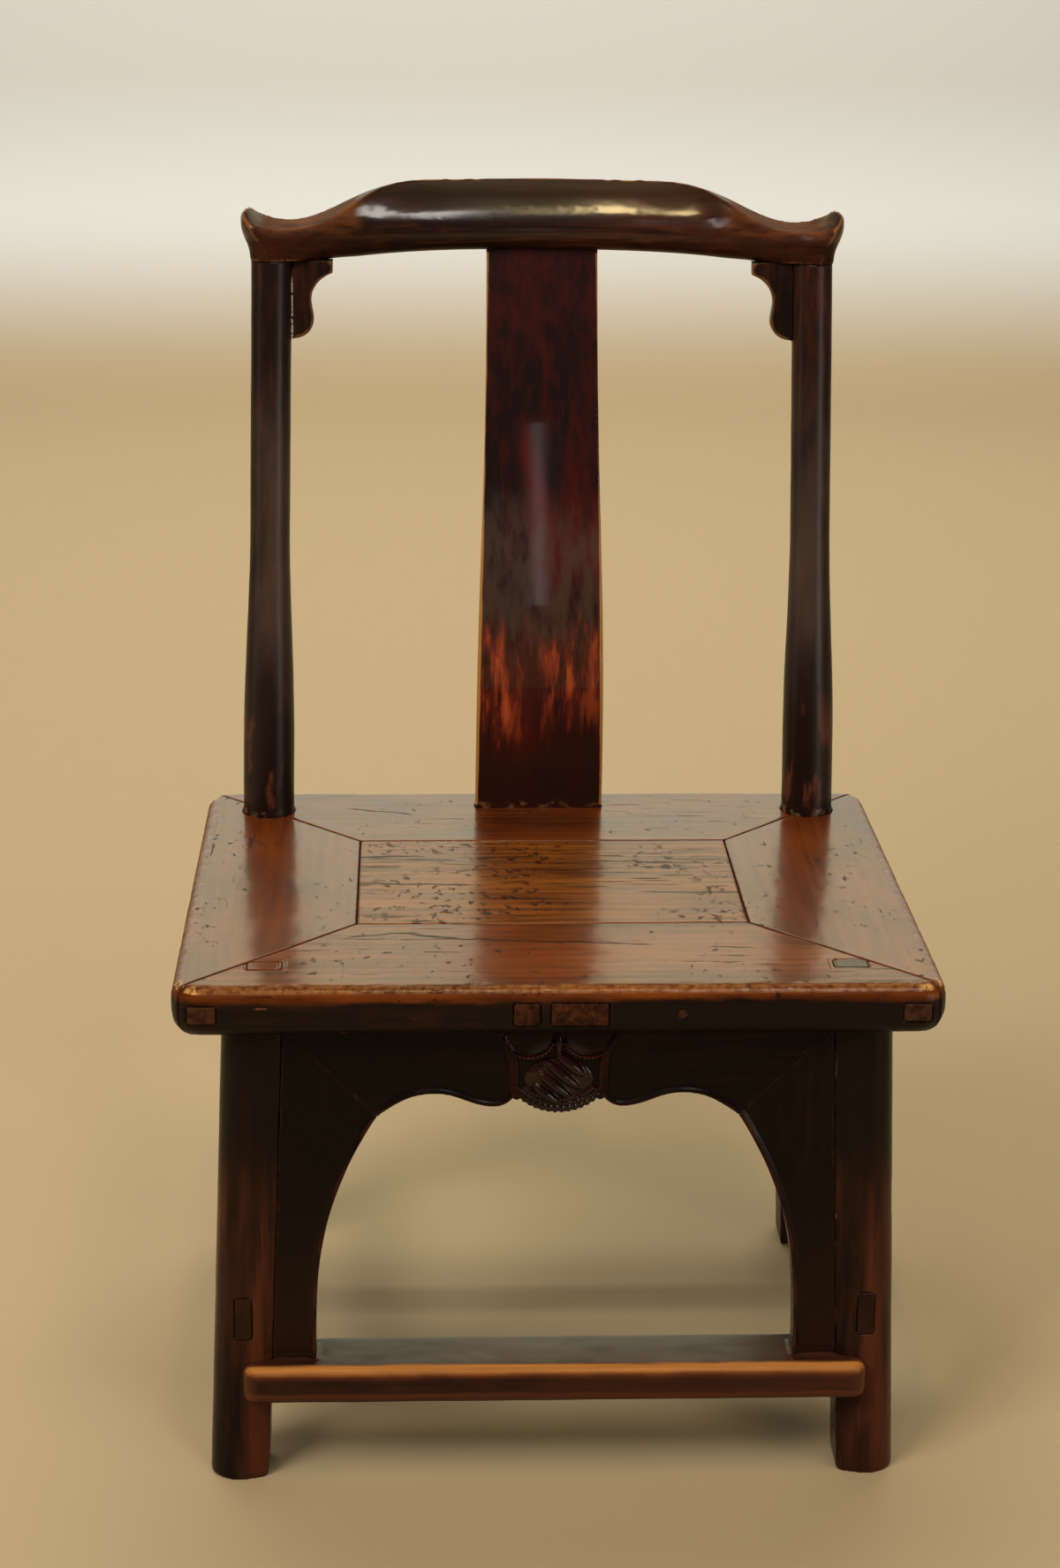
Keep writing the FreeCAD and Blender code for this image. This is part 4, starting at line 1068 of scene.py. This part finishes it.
def floor_and_wall():
    bpy.ops.object.select_all(action="DESELECT")
    bpy.ops.mesh.primitive_plane_add(size=2 * STAGE_REACH, location=(0, WALL_PLACE - STAGE_REACH, 0))
    stage = bpy.context.object
    stage.name = "floor"
    bpy.ops.object.transform_apply(location=True, rotation=False, scale=False)
    edges_where(stage, lambda place: place.y > WALL_PLACE - NEAR)
    bpy.ops.mesh.extrude_region_move(TRANSFORM_OT_translate={"value": (0, 0, WALL_HEIGHT)})
    edges_where(stage, lambda place: place.y > WALL_PLACE - NEAR and place.z < NEAR)
    bpy.ops.mesh.bevel(offset=FOLD_WIDTH, segments=16, affect="EDGES")
    bpy.ops.object.mode_set(mode="OBJECT")
    bpy.ops.object.shade_smooth()
    stage.data.materials.append(stage_paint())
    return stage


print("stage squares", len(floor_and_wall().data.polygons))

# %% [markdown]
# Light. Three large soft lamps light the seat, the floor and the wall from above. Lacquer shows where lamps
# are, and as their outlines on it would look like a studio, they are hidden from gloss. What gleams comes
# from small lamps: three high in front for the long gleams on the headrest, two low upright ones at the
# sides for the pale lines on the posts, and a narrow strip in front for the line down the splat.

# %% Lamps
def lamp(name, place, target, size, power, colour=(1, 1, 1)):
    """A rectangular lamp at a place, turned to a target, with its power in watts."""
    data = bpy.data.lights.new(name, "AREA")
    data.shape = "RECTANGLE"
    data.size, data.size_y = size
    data.energy = power
    data.color = colour
    light = bpy.data.objects.new(name, data)
    bpy.context.scene.collection.objects.link(light)
    light.location = place
    light.rotation_euler = (Vector(target) - Vector(place)).to_track_quat("-Z", "Y").to_euler()
    return light


CREST_MIDDLE = (0, 0.16, 0.69)
CREST_RIGHT = (0.11, 0.155, 0.69)
BACK_MIDDLE = (0, 0.12, 0.5)
WARM_WHITE = (1.0, 0.93, 0.86)
CREAM = (1.0, 0.90, 0.78)
GOLD_LIGHT = (1.0, 0.76, 0.36)
for light in (lamp("top_lamp", (-0.3, 1.1, 3.2), (0, 0.3, 0.3), (2.4, 1.4), 42),
              lamp("front_top_lamp", (-1.85, -1.95, 2.4), (0, -0.3, 0.1), (1.4, 1.0), 80),
              lamp("wall_lamp", (0, 2.2, 3.4), (0, 3.6, 1.2), (4.0, 0.6), 100)):
    light.visible_glossy = False
lamp("headrest_lamp", (0.68, -1.37, 3.04), CREST_MIDDLE, (0.54, 1.0), 21, WARM_WHITE)
lamp("headrest_warm_lamp", (-0.04, -1.05, 3.43), CREST_MIDDLE, (0.11, 0.5), 9.0, GOLD_LIGHT)
lamp("headrest_end_lamp", (-0.40, -1.62, 1.89), CREST_RIGHT, (0.12, 1.0), 2.2, WARM_WHITE)
lamp("left_lamp", (-2.05, -0.55, 0.47), BACK_MIDDLE, (0.2, 0.7), 2.0, CREAM)
lamp("right_lamp", (1.85, -1.4, 0.47), BACK_MIDDLE, (0.6, 0.7), 10, CREAM)
lamp("front_strip", (0.13, -2.9, 0.78), BACK_MIDDLE, (0.018, 1.1), 0.15)
print("lamps", len(bpy.data.lights), "watts", round(sum(light.energy for light in bpy.data.lights), 1))

# %% [markdown]
# A weak, even light from all around keeps the shadows open. The Standard view transform shows a colour
# about as it is written.

# %% World
WORLD_COLOUR = (0.80, 0.78, 0.74, 1)
WORLD_STRENGTH = 0.08
world = bpy.data.worlds.new("soft_world")
world.use_nodes = True
world.node_tree.nodes["Background"].inputs["Color"].default_value = WORLD_COLOUR
world.node_tree.nodes["Background"].inputs["Strength"].default_value = WORLD_STRENGTH
bpy.context.scene.world = world
bpy.context.scene.view_settings.view_transform = "Standard"
print("world strength", WORLD_STRENGTH)
